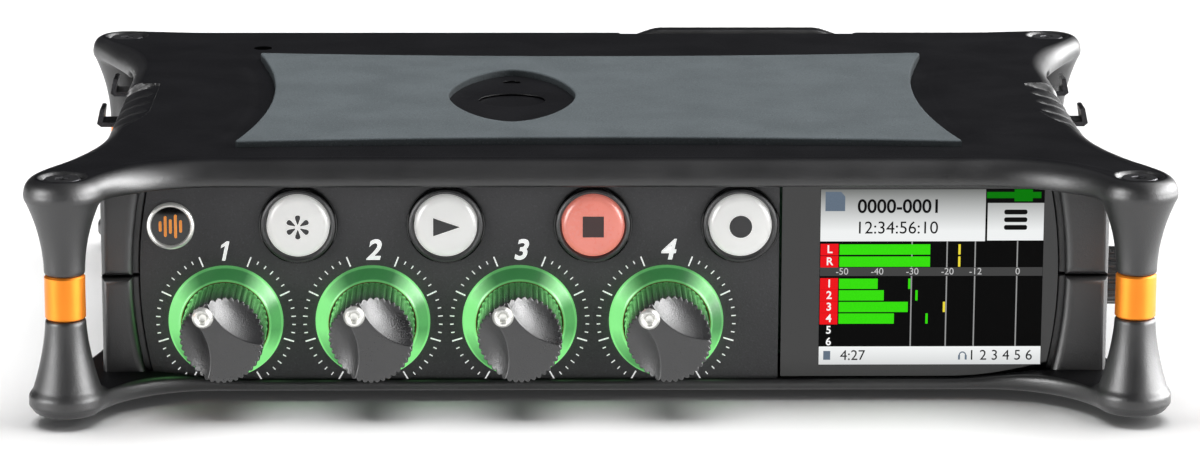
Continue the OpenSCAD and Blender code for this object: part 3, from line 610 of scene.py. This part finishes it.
def grip_field(x, y, z):
    """The hollow of the finger grip at the waist: rounded fins with narrow grooves between them."""
    reach = grip_reach(y)
    phase = (y - RIB_Y) / RIB_PITCH
    fin = np.abs(phase - np.round(phase)) * 2
    row = ease(phase, -0.6, -0.35) * (1 - ease(phase, RIB_COUNT - 0.9, RIB_COUNT - 0.7))
    groove = (0.42 * (1 - fin) ** 1.5 + 0.5 * (1 - ease(fin, 0.0, 0.16))) * row
    across = (np.abs(x) - WAIST_X + reach + 0.02) / (reach + 0.55)
    fall = np.sqrt(np.maximum(1 - np.clip(across, 0, 1) ** 2, 0))
    skin = TOP_Z - GRIP_DEEP * (1 - fall)
    cut = z - skin + groove * ease(across, -0.02, 0.35) * (1 - 0.85 * ease(across, 0.8, 1.0))
    return np.where((reach > 0.05) & (across > -0.05), cut, -9.0)


def top_shell_field(x, y, z, plan):
    """The dished top plate around a plan distance, with the upper halves of the posts."""
    distance = plan(x, y)
    post = from_post(x, y)
    dish = ease(-pad_end_distance(x, y), -5.5, -0.5) * (1 - ease(np.abs(y), 26, 37))
    crease = 0.07 * np.exp(-((distance + ROLL_R + 0.3) / 0.4) ** 2) * (1 - ease(y, -30, -10))
    high = TOP_Z + PLATE_RISE - DISH_DEPTH * dish + crease
    raised_lip = ease(y, 20, 28) * (1 - ease(y, 36.2, 36.8)) * ease(np.abs(x), 66, 69)
    corner = np.exp(-(post / 9) ** 4)
    plate = slab(distance, z, LIP_Z + raised_lip, high, 0.6 + 0.9 * corner, ROLL_R - corner)
    plate = blend_max(plate, grip_field(x, y, z) * 0.75, 0.12)
    latch = shared(np.abs(x - LATCH_X) - LATCH_HALF - 0.4, LATCH_HIGH[1] - LATCH_BAR - 0.3 - y)
    plate = blend_max(plate, -latch, 0.3)
    plate = blend_max(plate, -shared(*inner_room(x, y), z - CEILING_Z), 0.4)
    rise = np.clip((z - RING_HIGH[2]) / (LIP_Z + 0.7 - RING_HIGH[2]), 0, 1)
    flare = (post - NECK_R - (CORNER_R - 0.03 - NECK_R) * rise ** 2.05) * (1 - 0.3 * rise)
    flare = blend_max(flare, RING_HIGH[2] + 0.05 - z, 0.5)
    flare = np.maximum(flare, z - TOP_Z + 1.9)
    skin = blend_min(plate, flare, 1.6 - 1.3 * ease(distance, -2.5, -0.3))
    recess = np.maximum(post - SCREW_R - 0.35 * ease(z, TOP_Z - 0.35, TOP_Z + 0.1), TOP_Z - 1.4 - z)
    skin = blend_max(skin, MIC_R - np.hypot(x - MIC_X, y - MIC_Y), 0.1)
    return blend_max(skin, -recess, 0.35)


def bottom_shell_field(x, y, z, plan):
    """The base around a plan distance, with the lower halves of the posts and the well inside."""
    distance = plan(x, y) + BASE_INSET
    post = from_post(x, y)
    corner = np.exp(-(post / 9) ** 4)
    sunk = (1 - ease(np.abs(x), 50, 66)) * ease(-y, 36, 41)
    low_r, high_r = 1.5 - 0.55 * sunk, 0.95 - 0.6 * corner - 0.35 * sunk
    plate = slab(distance, z, BASE_Z, RIM_Z - 1.25 * sunk, low_r, high_r)
    well = shared(*inner_room(x, y), BASE_Z + 1.9 - z)
    slot = shared(np.abs(x) - 64.6, np.abs(y - PANEL_Y - 0.95) - 1.05, BASE_Z + 1.1 - z)
    plate = blend_max(blend_max(plate, -well, 0.4), -slot, 0.2)
    drop = np.clip((RING_LOW[2] - z) / (RING_LOW[2] - RIM_Z + 0.3), 0, 1)
    flare = (post - NECK_R - (CORNER_R - 0.33 - NECK_R) * drop ** 1.7) * (1 - 0.25 * drop)
    flare = blend_max(flare, z - RING_LOW[2] + 0.05, 0.5)
    flare = np.maximum(flare, BASE_Z + 1.5 - z)
    skin = blend_min(plate, flare, 0.9)
    recess = np.maximum(post - SCREW_R, z - BASE_Z - 1.3)
    return blend_max(skin, -recess, 0.35)


def make_shells():
    """The sculpted skins of the two shells."""
    plan_y = spaced((-HALF_D - 1, FINE), (HALF_D + 1, 0))
    top_plan, base_plan = Plan(0), Plan(BASE_SETBACK)
    top_z = spaced((RING_HIGH[2] - 0.8, 0.42), (LIP_Z - 0.8, 0.26), (TOP_Z + 1.2, 0))
    base_z = spaced((BASE_Z - 0.8, 0.26), (RIM_Z + 1, 0.42), (RING_LOW[2] + 0.8, 0))
    top = sculpt(lambda x, y, z: top_shell_field(x, y, z, top_plan), PLAN_X, plan_y, top_z)
    add_piece("top_shell_form", top, SHELL, smooth_angle=50, replaces="top_shell")
    base = sculpt(lambda x, y, z: bottom_shell_field(x, y, z, base_plan), PLAN_X, plan_y, base_z)
    add_piece("bottom_shell_form", base, SHELL, smooth_angle=50, replaces="bottom_shell")


COLUMN_IN = 66.2
COLUMN_DEEP = 6.4
COLUMN_BOW = 1.6
SPLIT_GAP = 0.12
FLANGE = 0.98


def make_columns():
    """The pillars beside the control panel and at the rear, split at mid height."""
    half = (TOP_Z - BASE_Z) / 2 - 2.6
    r = (half * half + COLUMN_BOW * COLUMN_BOW) / (2 * COLUMN_BOW)
    spans = {"upper": (SPLIT_Z + SPLIT_GAP, CEILING_Z), "lower": (BASE_Z + 2.0, SPLIT_Z - SPLIT_GAP)}
    shapes = {name: [] for name in spans}
    for side in (-1, 1):
        outer = side * COLUMN_X[side]
        for name, (z0, z1) in spans.items():
            heights = np.linspace(z0, z1, 14)
            inner = COLUMN_IN - r + np.sqrt(r * r - (heights - SPLIT_Z) ** 2)
            outline = np.c_[np.r_[side * inner, outer, outer], np.r_[heights, z1, z0]]
            if side < 0:
                outline = outline[::-1]
            column = cut_sheet([outline], COLUMN_DEEP, 1.1, 6)
            shapes[name].append(placed(column, (0, COLUMN_Y + COLUMN_DEEP, 0)))
            on_inner = np.abs(outline[:, :1]) < COLUMN_X[side] - 0.1
            lining = outline - np.array([side * FLANGE, 0]) * on_inner
            lining[:, 0] = side * np.minimum(side * lining[:, 0], COLUMN_X[side] - 1.5)
            shapes[name].append(placed(cut_sheet([lining], 4.0, 0.3, 2), (0, PANEL_Y + 4.7, 0)))
            rear = outline * (-1, 1)
            rear[np.abs(rear[:, 0]) > 70, 0] = -side * COLUMN_X[-1]
            rear = cut_sheet([rear], 6.0, 0.75, 5)
            shapes[name].append(placed(rear, (0, REAR_FACE_Y - 4.5, 0), face="rear"))
    for name, parts in shapes.items():
        add_piece("columns_" + name, joined(*parts), SHELL)


def make_posts():
    """The orange rings round the four posts, and the screw heads above and below them."""
    edge = 0.25
    ring = [(1.9, 0), (NECK_R - edge, 0), (NECK_R, edge), (NECK_R, RING_H - edge),
            (NECK_R - edge, RING_H), (1.9, RING_H)]
    screw = socket_head(2.6, 1.5, 1.05)
    rings, screws = [], []
    for sx in (-1, 1):
        for sy in (-1, 1):
            rings.append(placed(turned(ring), (sx * POST_X, sy * POST_Y, RING_LOW[2]), face="top"))
            for face, z in (("top", TOP_Z + 0.05), ("bottom", BASE_Z + 0.15)):
                screws.append(placed(screw, (sx * POST_X, sy * POST_Y, z), face=face))
    add_piece("post_rings_turned", joined(*rings), ORANGE_PAINTED_GLOW, replaces="post_rings")
    add_piece("post_screw_heads", joined(*screws), SCREW, replaces="post_screws")


def socket_head(r, h, socket):
    """A screw head with a hexagon socket, its top at out = 0."""
    steps = 48
    turn = np.arange(steps) * 2 * math.pi / steps
    hexagon = socket * math.cos(math.pi / 6) / np.cos((turn + math.pi / 6) % (math.pi / 3) - math.pi / 6)
    rings = [(np.full(steps, r), -h), (np.full(steps, r), -0.22), (np.full(steps, r - 0.2), 0),
             (hexagon + 0.14, 0), (hexagon, -0.12), (hexagon, -0.75 * h)]
    points = np.vstack([np.c_[arc((0, 0), radius, turn), np.full(steps, out)] for radius, out in rings])
    faces = [[k * steps + i, k * steps + (i + 1) % steps,
              (k + 1) * steps + (i + 1) % steps, (k + 1) * steps + i]
             for k in range(len(rings) - 1) for i in range(steps)]
    faces += [list(range(steps))[::-1], list(range((len(rings) - 1) * steps, len(rings) * steps))]
    return points, faces


# ---------------------------------------------------------------- pads and threads

def hollow_rectangle(half, bow, steps=40):
    """A rectangle whose four sides are arcs bowed inwards."""
    points = []
    for k, (sx, sy) in enumerate(((1, -1), (1, 1), (-1, 1), (-1, -1))):
        t = np.linspace(-1, 1, steps, endpoint=False)
        if k % 2 == 0:
            points.append(np.c_[sx * (half[0] - bow[0] * (1 - t * t)), t * half[1] * sx])
        else:
            points.append(np.c_[-t * half[0] * sy, sy * (half[1] - bow[1] * (1 - t * t))])
    return softened(np.vstack(points), 1.3)


def softened(outline, reach):
    """The outline with its sharp corners rounded off over about reach mm."""
    closed = np.vstack([outline, outline[:1]])
    along = np.r_[0, np.cumsum(np.hypot(*np.diff(closed, axis=0).T))]
    even = np.linspace(0, along[-1], 900, endpoint=False)
    points = np.c_[np.interp(even, along, closed[:, 0]), np.interp(even, along, closed[:, 1])]
    span = max(1, int(reach / (along[-1] / 900)))
    kernel = np.hanning(2 * span + 1)
    kernel /= kernel.sum()
    padded = np.vstack([points[-span:], points, points[:span]])
    return np.stack([np.convolve(column, kernel, "valid") for column in padded.T], axis=1)[::3]


PIN_OFFSET = 14
EYE_HALF = (9.5, 20)


def eye_window():
    """The pad's window round the thread: an ellipse drawn out to points in front and behind."""
    power = 2 / 1.7
    turn = np.linspace(0, 2 * math.pi, 72, endpoint=False)
    c, s = np.cos(turn), np.sin(turn)
    return np.c_[THREAD_X + EYE_HALF[0] * np.sign(c) * np.abs(c) ** power,
                 EYE_HALF[1] * np.sign(s) * np.abs(s) ** power]


def make_pads():
    """The grey top pad, the rubber foot pad, and the plates that show in their windows."""
    outline = hollow_rectangle((PAD_HALF[0] - 0.1, PAD_HALF[1] - 0.1), PAD_BOW)
    window = eye_window()
    top = cut_sheet([outline, window], PAD_TOP - TOP_Z + 0.35, 0.3)
    add_piece("top_pad_form", placed(top, (0, 0, TOP_Z - 0.6), face="top"), PAD,
              smooth_angle=30, replaces="top_pad")
    foot = cut_sheet([outline * (-1, 1), window * (-1, 1)], BASE_Z + 0.5, 0.45)
    add_piece("foot_pad_form", placed(foot, (0, 0, BASE_Z + 0.5), face="bottom"), RUBBER,
              smooth_angle=30, replaces="bottom_pad")
    for name, face, z, mirror in (("top", "top", TOP_Z, 1), ("base", "bottom", BASE_Z, -1)):
        hole = circle(5.0, 64, (THREAD_X * mirror, THREAD_Y))
        pin = circle(1.4, 32, (THREAD_X * mirror, THREAD_Y + PIN_OFFSET))
        plate = cut_sheet([window * (mirror, 1), hole, pin], 0.1)
        add_piece(f"thread_plate_{name}", placed(plate, (0, 0, z - 0.02 * mirror), face=face), CONNECTOR)


def make_microphone_mesh():
    """A near-black disc over the slate microphone's opening, flush with the skin of the top shell: painted
    shade that stands for the dark hole.
    """
    mesh = cut_sheet([circle(MIC_R + 0.15, 32)], 0.4, 0.05)
    mesh = placed(mesh, (MIC_X, MIC_Y, TOP_Z - 0.06), face="top")
    add_piece("microphone_hole_shade_disc", mesh, MESH)


def make_sled_latch():
    """The sled's release bar: a shallow arch with an S-curve at both ends, on its thumb plate."""
    across = np.linspace(-1, 1, 61)
    end_z, bar_z, thumb_z, thumb_deep = TOP_Z - 0.7, BASE_Z + 28, BASE_Z + 29.4, 2.8
    crest = end_z + (LATCH_HIGH[2] - end_z) * ease(1 - np.abs(across), 0.0, 0.34)
    arch = np.vstack([np.c_[LATCH_X + LATCH_HALF * across, crest],
                      [(LATCH_X + LATCH_HALF, bar_z), (LATCH_X - LATCH_HALF, bar_z)]])[::-1]
    bar = placed(cut_sheet([arch], LATCH_BAR, 0.5, 4), (0, LATCH_HIGH[1], 0))
    thumb = rectangle(LATCH_LOW[0], LATCH_LOW[2], LATCH_HIGH[0], thumb_z, 0.8)
    plate = placed(cut_sheet([thumb], thumb_deep, 0.4, 3), (0, LATCH_LOW[1] + thumb_deep, 0))
    add_piece("sled_release_bar", joined(bar, plate), SHELL, "sled_release",
              replaces="sled_latch")


# ---------------------------------------------------------------- control panel

KNOB_TIP, KNOB_ROOT, KNOB_FLUTES = 5.96, 5.56, 42
POINTER_ANGLES = [33.8, 30.5, 32.6, 39.7]
POINTER_R = 4.4
SCOOP_R, SCOOP_DEEP, SCOOP_PLACE = 8.8, 2.9, (10.1, 3.4)


def knob_field(x, y, z):
    """A fluted knob, its pointer along +y, with two finger scoops that leave a tapering ridge."""
    radius = np.hypot(x, y)
    wave = np.abs(np.cos(np.arctan2(y, x) * KNOB_FLUTES / 2)) ** 0.8
    skirt = (radius - KNOB_ROOT - (KNOB_TIP - KNOB_ROOT) * wave) * 0.9
    body = blend_max(skirt, z - KNOB_H, 0.3)
    body = np.maximum(body, 0.75 - z)
    for side in (-1, 1):
        away = np.hypot(x - side * SCOOP_PLACE[0], y - SCOOP_PLACE[1]) / SCOOP_R
        floor = KNOB_H - SCOOP_DEEP * (1 - np.minimum(away, 1.1) ** 4.5)
        body = blend_max(body, (z - floor) * 0.7, 0.1)
    return body


def on_panel(name):
    """Where the middle of a CAD node falls on the face of the control panel."""
    x, _, z = middle(name)
    return x, PANEL_Y, z


def make_knobs():
    """The four gain knobs, each with its bright pointer pin."""
    step = 0.13
    reach = np.arange(-6.3, 6.31, step)
    knob = sculpt(knob_field, reach, reach, np.arange(0.4, KNOB_H + 0.5, step))
    pin = turned([(0, -1.4), (1.15, -1.4), (1.15, 0.1), (1.42, 0.25), (1.5, 0.6), (1.42, 1.0), (1.15, 1.3),
                  (0.9, 1.33), (0.62, 1.1), (0.5, 0.7), (0, 0.6)], 48)
    for k, angle in enumerate(POINTER_ANGLES, 1):
        x, y, z = on_panel(f"knob_{k}")
        body, a = f"gain_knob_{k}", math.radians(angle)
        add_piece(f"knob_{k}_form", placed(knob, (x, y, z), angle), KNOB, body, 45,
                  f"knob_{k}")
        seat = (x - POINTER_R * math.sin(a), y - KNOB_H, z + POINTER_R * math.cos(a))
        add_piece(f"knob_pointer_{k}_form", placed(pin, seat), CHROME_PAINTED_GLOW, body,
                  replaces=f"knob_pointer_{k}")


def make_light_rings():
    """The lit dishes round the knobs, each with an orange gasket in its mouth."""
    dish = [(6.24, -1.9), (8.1, -1.9), (8.14, 0.1), (8.08, 0.28), (7.9, 0.46), (7.5, 0.9), (7.1, 1.36),
            (6.7, 1.86), (6.5, 2.1), (6.38, 2.18), (6.26, 2.1)]
    gasket = [(6.08, 1.5), (6.24, 1.5), (6.26, 1.98), (6.16, 2.06), (6.08, 1.98)]
    gaskets = []
    for k in range(1, 5):
        origin = on_panel(f"knob_{k}")
        glow = glowing_ring(f"ring_light_{k}", origin)
        add_piece(f"light_ring_{k}", placed(turned(dish, 128), origin), glow,
                  replaces="light_rings")
        gaskets.append(placed(turned(gasket), origin))
    add_piece("ring_gaskets", joined(*gaskets), EMBER)


def make_dials():
    """The printed scale round each knob: seven spaces of six ticks, and the channel number on top."""
    space, ticks = 360 / 8.4, 6
    thin = 0.05
    lines = []
    for k in range(1, 5):
        x, y, z = on_panel(f"knob_{k}")
        for n in range(7 * ticks + 1):
            angle = 240 - space * n / ticks
            if 74 < angle < 106:
                continue
            whole, half = n % ticks == 0, n % ticks == ticks // 2
            inner = 8.55 if whole else 9.3 if half else 9.4
            outer = 10.05 if whole else 9.95 if half else 9.9
            width = 0.1 if whole else 0.075
            bar = cut_sheet([rectangle(inner, -width, outer, width)], thin)
            lines.append(placed(bar, (x, y, z), angle))
        lines.append(placed(figure(k, 2.8, thin, 0.22), (x + 0.1, y, z + 10.25)))
    add_piece("dial_print", joined(*lines), PRINT_PAINTED_GLOW, smooth_angle=0)


BUTTON_R = 4.45
DOME_R = 24.0
DOME_TOP = 1.75
SYMBOL_T = 0.16
SYMBOL_LIFT = 0.01


def symbol_outlines(kind):
    """The outlines of a button's symbol: star, play, stop or record."""
    if kind == "star":
        half = [(0.42, 0.06), (1.25, 0.34), (1.52, 0.36), (1.68, 0.22)]
        petal = half + [(1.72, 0)] + [(u, -v) for u, v in half[::-1]]
        petals = []
        for k in range(6):
            a = math.radians(60 * k + 90)
            along, across = np.array([math.cos(a), math.sin(a)]), np.array([-math.sin(a), math.cos(a)])
            petals.append(np.array([u * along - v * across for u, v in petal]))
        return petals
    if kind == "play":
        return [np.array([(-1.75, -1.3), (2.0, 0), (-1.75, 1.3)])]
    if kind == "stop":
        return [rectangle(-1.5, -1.5, 1.5, 1.5)]
    return [circle(1.6, 48)]


def make_buttons():
    """The four buttons with their symbols, in bezels with glossy collars; their caps glow, partly from
    backlight and partly as painted light.
    """
    cap = [(0, -2.6), (BUTTON_R, -2.6), (BUTTON_R, 0.7), (4.38, 1.0), (4.15, 1.22)]
    cap += [(r, DOME_TOP - DOME_R + math.sqrt(DOME_R ** 2 - r * r)) for r in np.linspace(3.8, 0, 12)]
    cap[-1] = (0, DOME_TOP)
    bezel = [(4.6, -1.9), (5.1, -1.9), (5.1, 0.02), (5.28, 0.02), (5.3, 0.7), (5.2, 1.0), (4.95, 1.12),
             (4.7, 1.02), (4.6, 0.8)]
    collar = [(5.3, 0), (5.62, 0), (5.6, 0.3), (5.5, 0.55), (5.38, 0.6), (5.3, 0.5)]
    bezels, collars = [], []
    for kind in ("star", "play", "stop", "record"):
        red = kind == "stop"
        origin, body = on_panel(f"button_{kind}"), f"{kind}_button"
        add_piece(f"button_{kind}_cap", placed(turned(cap), origin), RED_CAP_BACKLIT_AND_PAINTED if red else WHITE_CAP_BACKLIT_AND_PAINTED,
                  body, replaces=f"button_{kind}")
        symbol = joined(*[cut_sheet([outline], SYMBOL_T) for outline in symbol_outlines(kind)])
        symbol = moved(symbol, 0, 0, DOME_TOP + SYMBOL_LIFT - SYMBOL_T)
        add_piece(f"button_{kind}_symbol", placed(symbol, origin), SYMBOL_RED if red else SYMBOL,
                  body, 0)
        bezels.append(placed(turned(bezel), origin))
        collars.append(placed(turned(collar), origin))
    add_piece("button_bezels_form", joined(*bezels), BEZEL, replaces="button_bezels")
    add_piece("button_collars", joined(*collars), GLOSS)


def make_badge():
    """A chrome ring round a black dome with the five bars of a sound level; the ring and the bars glow as
    painted light.
    """
    origin = on_panel("badge_ring")
    crown, fall, pitch, half = 0.62, 0.03, 0.72, 0.2
    rim = [(2.72, 0), (3.36, 0), (3.38, 0.35), (3.28, 0.65), (3.08, 0.78), (2.88, 0.68), (2.76, 0.45)]
    dome = [(0, -0.6), (2.5, -0.6), (2.76, 0)]
    dome += [(r, crown - fall * r * r) for r in np.linspace(2.74, 0, 10)]
    dome[-1] = (0, crown)
    add_piece("badge_rim", placed(turned(rim), origin), CHROME_PAINTED_GLOW,
              replaces="badge_ring")
    add_piece("badge_dome", placed(turned(dome), origin), GLOSS,
              replaces="badge_face")
    bars = []
    for k, height in enumerate((0.75, 1.5, 1.05, 1.7, 0.9)):
        at = (k - 2) * pitch
        bar = cut_sheet([rectangle(at - half, -height, at + half, height, half - 0.01)], 0.16)
        bars.append(moved(bar, 0, 0, 0.47))
    add_piece("badge_bars", placed(joined(*bars), origin), BADGE_BARS_PAINTED_GLOW,
              smooth_angle=0)


# ---------------------------------------------------------------- display

SCREEN = (31.2, 4.7, 63.0, 30.4)
LAYER_T = 0.02
METER_X = 2.8
ROW = 1.5
ROW_PITCH = 1.7


def meter_x(decibels):
    """Where a level stands on the meter, from the screen's left edge."""
    return 3.1 + 0.5 * (decibels + 50)


def make_display():
    """The lit picture: a header, six channel meters with a scale, and a footer, in thin layers."""
    x0, z0, x1, z1 = SCREEN
    width, height = x1 - x0, z1 - z0
    header, footer = height - 7.6, 2.7
    front = PANEL_Y - 0.06
    layers = {}

    def put(layer, shape, out=0.0):
        layers.setdefault(layer, []).append(placed(shape, (x0, front - out, z0)))

    def block(layer, left, low, right, high, out=0.02, r=0.0):
        put(layer, cut_sheet([rectangle(left, low, right, high, r)], LAYER_T), out)

    def digits(layer, text, x, z, size, out=0.05, bold=0.0):
        put(layer, moved(lettering(text, size, LAYER_T, bold=bold), x, z, 0), out)

    block("black", 0, 0, width, height, 0)
    block("header", 0.05, header, 23.45, height - 0.05)
    block("header", 23.75, header + 0.1, width - 0.05, height - 2.05)
    block("green_dark", 23.6, height - 1.35, 31.3, height - 0.45)
    block("green_dark", 27.5, height - 1.8, 30.1, height - 0.05, 0.03)
    for k in range(3):
        block("ink", 26.1, header + 1.65 + 1.12 * k, 29.4, header + 2.35 + 1.12 * k, 0.04, 0.3)
    page = [(0.7, header + 4.4), (3.5, header + 4.4), (3.5, height - 1.1), (2.9, height - 0.4),
            (0.7, height - 0.4)]
    put("slate", cut_sheet([page], LAYER_T), 0.04)
    digits("ink", "0000-0001", 11.2, header + 5.0, 1.9, bold=0.05)
    digits("ink", "12:34:56:10", 10.9, header + 1.9, 1.75)
    block("footer", 0.05, 0.05, width - 0.05, footer)
    block("slate", 0.7, 0.75, 1.7, 2.05, 0.04)
    digits("ink", "4:27", 4.9, 1.35, 1.45)
    digits("ink", "1 2 3 4 5 6", 26.0, 1.35, 1.45)
    phones_x = 20.6
    half_turn = np.radians(np.linspace(0, 180, 14))
    over = arc((0, 0), 1, half_turn)
    band = np.vstack([over * (0.55, 0.6), over[::-1] * (0.38, 0.43)])
    put("slate", moved(cut_sheet([band], LAYER_T), phones_x, 1.35, 0), 0.04)
    for side in (-1, 1):
        ear = phones_x + side * 0.48
        block("slate", ear - 0.14, 0.75, ear + 0.14, 1.4, 0.04)
    levels = [("L", header - 1.95, -24.8, -16.5), ("R", header - 3.72, -24.8, -16.5)]
    channels = ((-39.6, -30.6), (-37.8, -28.5), (-30.9, -20.6), (-34.8, -25.5))
    levels += [(str(k + 1), header - 6.95 - ROW_PITCH * k, *channel) for k, channel in enumerate(channels)]
    for label, low, level, peak in levels:
        block("red", 0.1, low - 0.1, METER_X - 0.15, low + ROW + 0.08)
        digits("paper", label, 1.4, low + ROW / 2, 1.1, bold=0.03)
        block("green", METER_X, low, meter_x(level), low + ROW)
        tone = "yellow" if peak > -21 else "green"
        block(tone, meter_x(peak) - 0.15, low, meter_x(peak) + 0.17, low + ROW)
    for k, label in enumerate(("5", "6")):
        digits("paper", label, 1.4, header - 13.0 - ROW_PITCH * k, 1.1, bold=0.03)
    block("band", 0.05, header - 5.05, width - 0.05, header - 3.8, 0.06)
    for mark in (-50, -40, -30, -20, -12, 0):
        digits("scale", str(mark), meter_x(mark) + 0.1, header - 4.42, 0.95, 0.09)
        if mark > -40:
            block("grid", meter_x(mark) - 0.09, footer, meter_x(mark) + 0.09, header, 0.01)
    tones = {"black": (0, 0, 0), "green_dark": (0, 118, 0), "ink": (6, 6, 6), "slate": (98, 112, 128),
             "red": (236, 16, 24), "paper": (246, 246, 246), "green": (52, 222, 4),
             "yellow": (240, 220, 60), "band": (66, 66, 66), "scale": (196, 196, 196),
             "grid": (150, 150, 150)}
    inks = {layer: lit(f"screen_{layer}", rgb(*tone)) for layer, tone in tones.items()}
    inks["header"] = shaded_grey("screen_header", z0 + header + 1.5, z1,
                                 rgb(240, 242, 242), rgb(112, 114, 112))
    inks["footer"] = shaded_grey("screen_footer", z0, z0 + footer,
                                 rgb(214, 216, 216), rgb(244, 246, 246))
    for layer, shapes in layers.items():
        add_piece(f"display_{layer}", joined(*shapes), inks[layer], smooth_angle=0)
    dress_node("display_window", GLOSS)


# ---------------------------------------------------------------- CAD parts that are shown as they are

def dress_node(name, material, bevel=0.0):
    """Gives a CAD node its material, and a small round on its edges."""
    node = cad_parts[name]
    node.data.materials.clear()
    node.data.materials.append(material)
    if bevel:
        modifier = node.modifiers.new("edges", "BEVEL")
        modifier.width, modifier.segments = bevel * MM, 2
        modifier.limit_method, modifier.angle_limit = "ANGLE", math.radians(40)
        modifier.use_clamp_overlap = True


def dress_cad():
    """Materials and edge rounds of the CAD nodes that stay in view or sit inside."""
    rotors = [f"encoder_rotor_{k}" for k in range(1, 5)]
    jack_latches = [f"jack_latch_{k}" for k in range(1, 5)]
    looks = {
        PANEL: ["front_panel"],
        SIDE: ["left_panel", "right_panel", "rear_panel", "battery_sled"],
        STEEL: ["thread_inserts", "post_studs", "board_screws", "usb_port", "timecode_port",
                "battery_contacts", "sd_socket", *rotors, "headphone_rotor"],
        LATCH: jack_latches,
        CASE: ["encoder_bodies", "switch_bodies", "power_switch", "display_module"],
        CONNECTOR: ["slate_microphone", "combo_jacks", "mini_jacks", "contact_block", "power_slider"],
        KNOB: ["headphone_knob"],
        BOARD: ["front_board", "main_board"],
        CABLE: ["ribbon_cable"],
        CELL: ["battery_cells"],
        CARD: ["sd_card"],
    }
    edges = {"left_panel": 0.25, "right_panel": 0.25, "rear_panel": 0.25, "battery_sled": 0.35,
             "combo_jacks": 0.2, "headphone_knob": 0.12, "mini_jacks": 0.15, "usb_port": 0.1,
             "timecode_port": 0.1, "power_slider": 0.2, "display_module": 0.2, "battery_contacts": 0.05,
             "sd_card": 0.15, "sd_socket": 0.1, **dict.fromkeys(jack_latches, 0.1)}
    for material, names in looks.items():
        for name in names:
            dress_node(name, material, edges.get(name, 0.0))


# ---------------------------------------------------------------- stage

FLOOR_HALF = 6000
FLOOR_DROP = 0.2
FLOOR_SHEEN = 0.5
WHITE = (1, 1, 1, 1)


def make_floor():
    """A white floor, which glows a little in the reflections of the recorder's glossy parts."""
    mesh = bpy.data.meshes.new("floor")
    corners = rectangle(-FLOOR_HALF, -FLOOR_HALF, FLOOR_HALF, FLOOR_HALF) * MM
    mesh.from_pydata([(x, y, -FLOOR_DROP * MM) for x, y in corners], [], [(0, 1, 2, 3)])
    n = Nodes("floor_white")
    glossy = n.add("ShaderNodeLightPath").outputs["Is Glossy Ray"]
    n.surface(Base_Color=(0.86, 0.86, 0.86, 1), Roughness=0.9, Specular_IOR_Level=0.1,
              Emission_Color=WHITE, Emission_Strength=n.span(glossy, 0, 1, 0, FLOOR_SHEEN))
    n.owner.cycles.emission_sampling = "NONE"
    mesh.materials.append(n.owner)
    link("floor", mesh)


def make_world():
    """A studio that is white to the camera, grey to diffuse surfaces and dark in reflections."""
    n = Nodes("studio", world=True)
    ray = n.add("ShaderNodeLightPath").outputs
    unseen = n.mix(ray["Is Diffuse Ray"], (0.016, 0.016, 0.017, 1), (0.12, 0.12, 0.12, 1))
    n.surface(Color=n.mix(ray["Is Camera Ray"], unseen, WHITE), Strength=1.0)
    bpy.context.scene.world = n.owner


def soft_box(name, azimuth, elevation, away, size, power, glossy=False):
    """A soft box aimed at the recorder, in metres. Azimuth 0 is in front, and 90 on the right."""
    light = bpy.data.lights.new(name, "AREA")
    light.shape, light.size, light.size_y, light.energy = "RECTANGLE", size[0], size[1], power
    holder = link(name, light)
    a, e = math.radians(azimuth), math.radians(elevation)
    holder.location = away * Vector((math.sin(a) * math.cos(e), -math.cos(a) * math.cos(e), math.sin(e)))
    holder.rotation_euler = (Vector((0, 0, 0.02)) - holder.location).to_track_quat("-Z", "Y").to_euler()
    holder.visible_camera, holder.visible_diffuse, holder.visible_glossy = False, not glossy, glossy


def make_lights():
    """Three boxes that model the body, and three that only show in its glossy parts."""
    soft_box("overhead", 180, 80, 1.3, (1.6, 0.9), 27)
    soft_box("right_fill", 80, 25, 1.2, (0.9, 0.8), 3)
    soft_box("rear_fill", 180, 18, 1.3, (1.2, 0.6), 4)
    soft_box("left_gloss", -62, 14, 1.2, (0.6, 0.8), 26, glossy=True)
    soft_box("right_gloss", 92, 16, 1.2, (2.0, 0.8), 90, glossy=True)
    soft_box("right_high", 100, 45, 1.2, (1.2, 0.6), 14, glossy=True)


CAMERA_PLACE = (-13.269, -654.826, 165.462)
CAMERA_PITCH, CAMERA_YAW, CAMERA_ROLL = 12.888, 1.230, 0.2008
CAMERA_LENS = 133.25
CAMERA_SHIFT = (0.00053, -0.00069)


def make_camera():
    """A long lens that looks down on the control panel."""
    data = bpy.data.cameras.new("camera")
    data.lens, data.sensor_width = CAMERA_LENS, 36
    data.shift_x, data.shift_y = CAMERA_SHIFT
    data.clip_start, data.clip_end = 0.05, 50
    camera = link("camera", data)
    pitch, yaw, roll = (math.radians(a) for a in (CAMERA_PITCH, CAMERA_YAW, CAMERA_ROLL))
    ahead = Vector((math.sin(yaw) * math.cos(pitch), math.cos(yaw) * math.cos(pitch), -math.sin(pitch)))
    across = ahead.cross(Vector((0, 0, 1))).normalized()
    up = across.cross(ahead)
    right = across * math.cos(roll) + up * math.sin(roll)
    above = up * math.cos(roll) - across * math.sin(roll)
    matrix = Matrix((right, above, -ahead)).transposed().to_4x4()
    matrix.translation = Vector(CAMERA_PLACE) * MM
    camera.matrix_world = matrix
    bpy.context.scene.camera = camera
    view = bpy.context.scene.view_settings
    view.view_transform, view.look = "Standard", "None"


make_shells()
make_columns()
make_posts()
make_pads()
make_microphone_mesh()
make_sled_latch()
make_knobs()
make_light_rings()
make_dials()
make_buttons()
make_badge()
make_display()
dress_cad()
make_floor()
make_world()
make_lights()
make_camera()
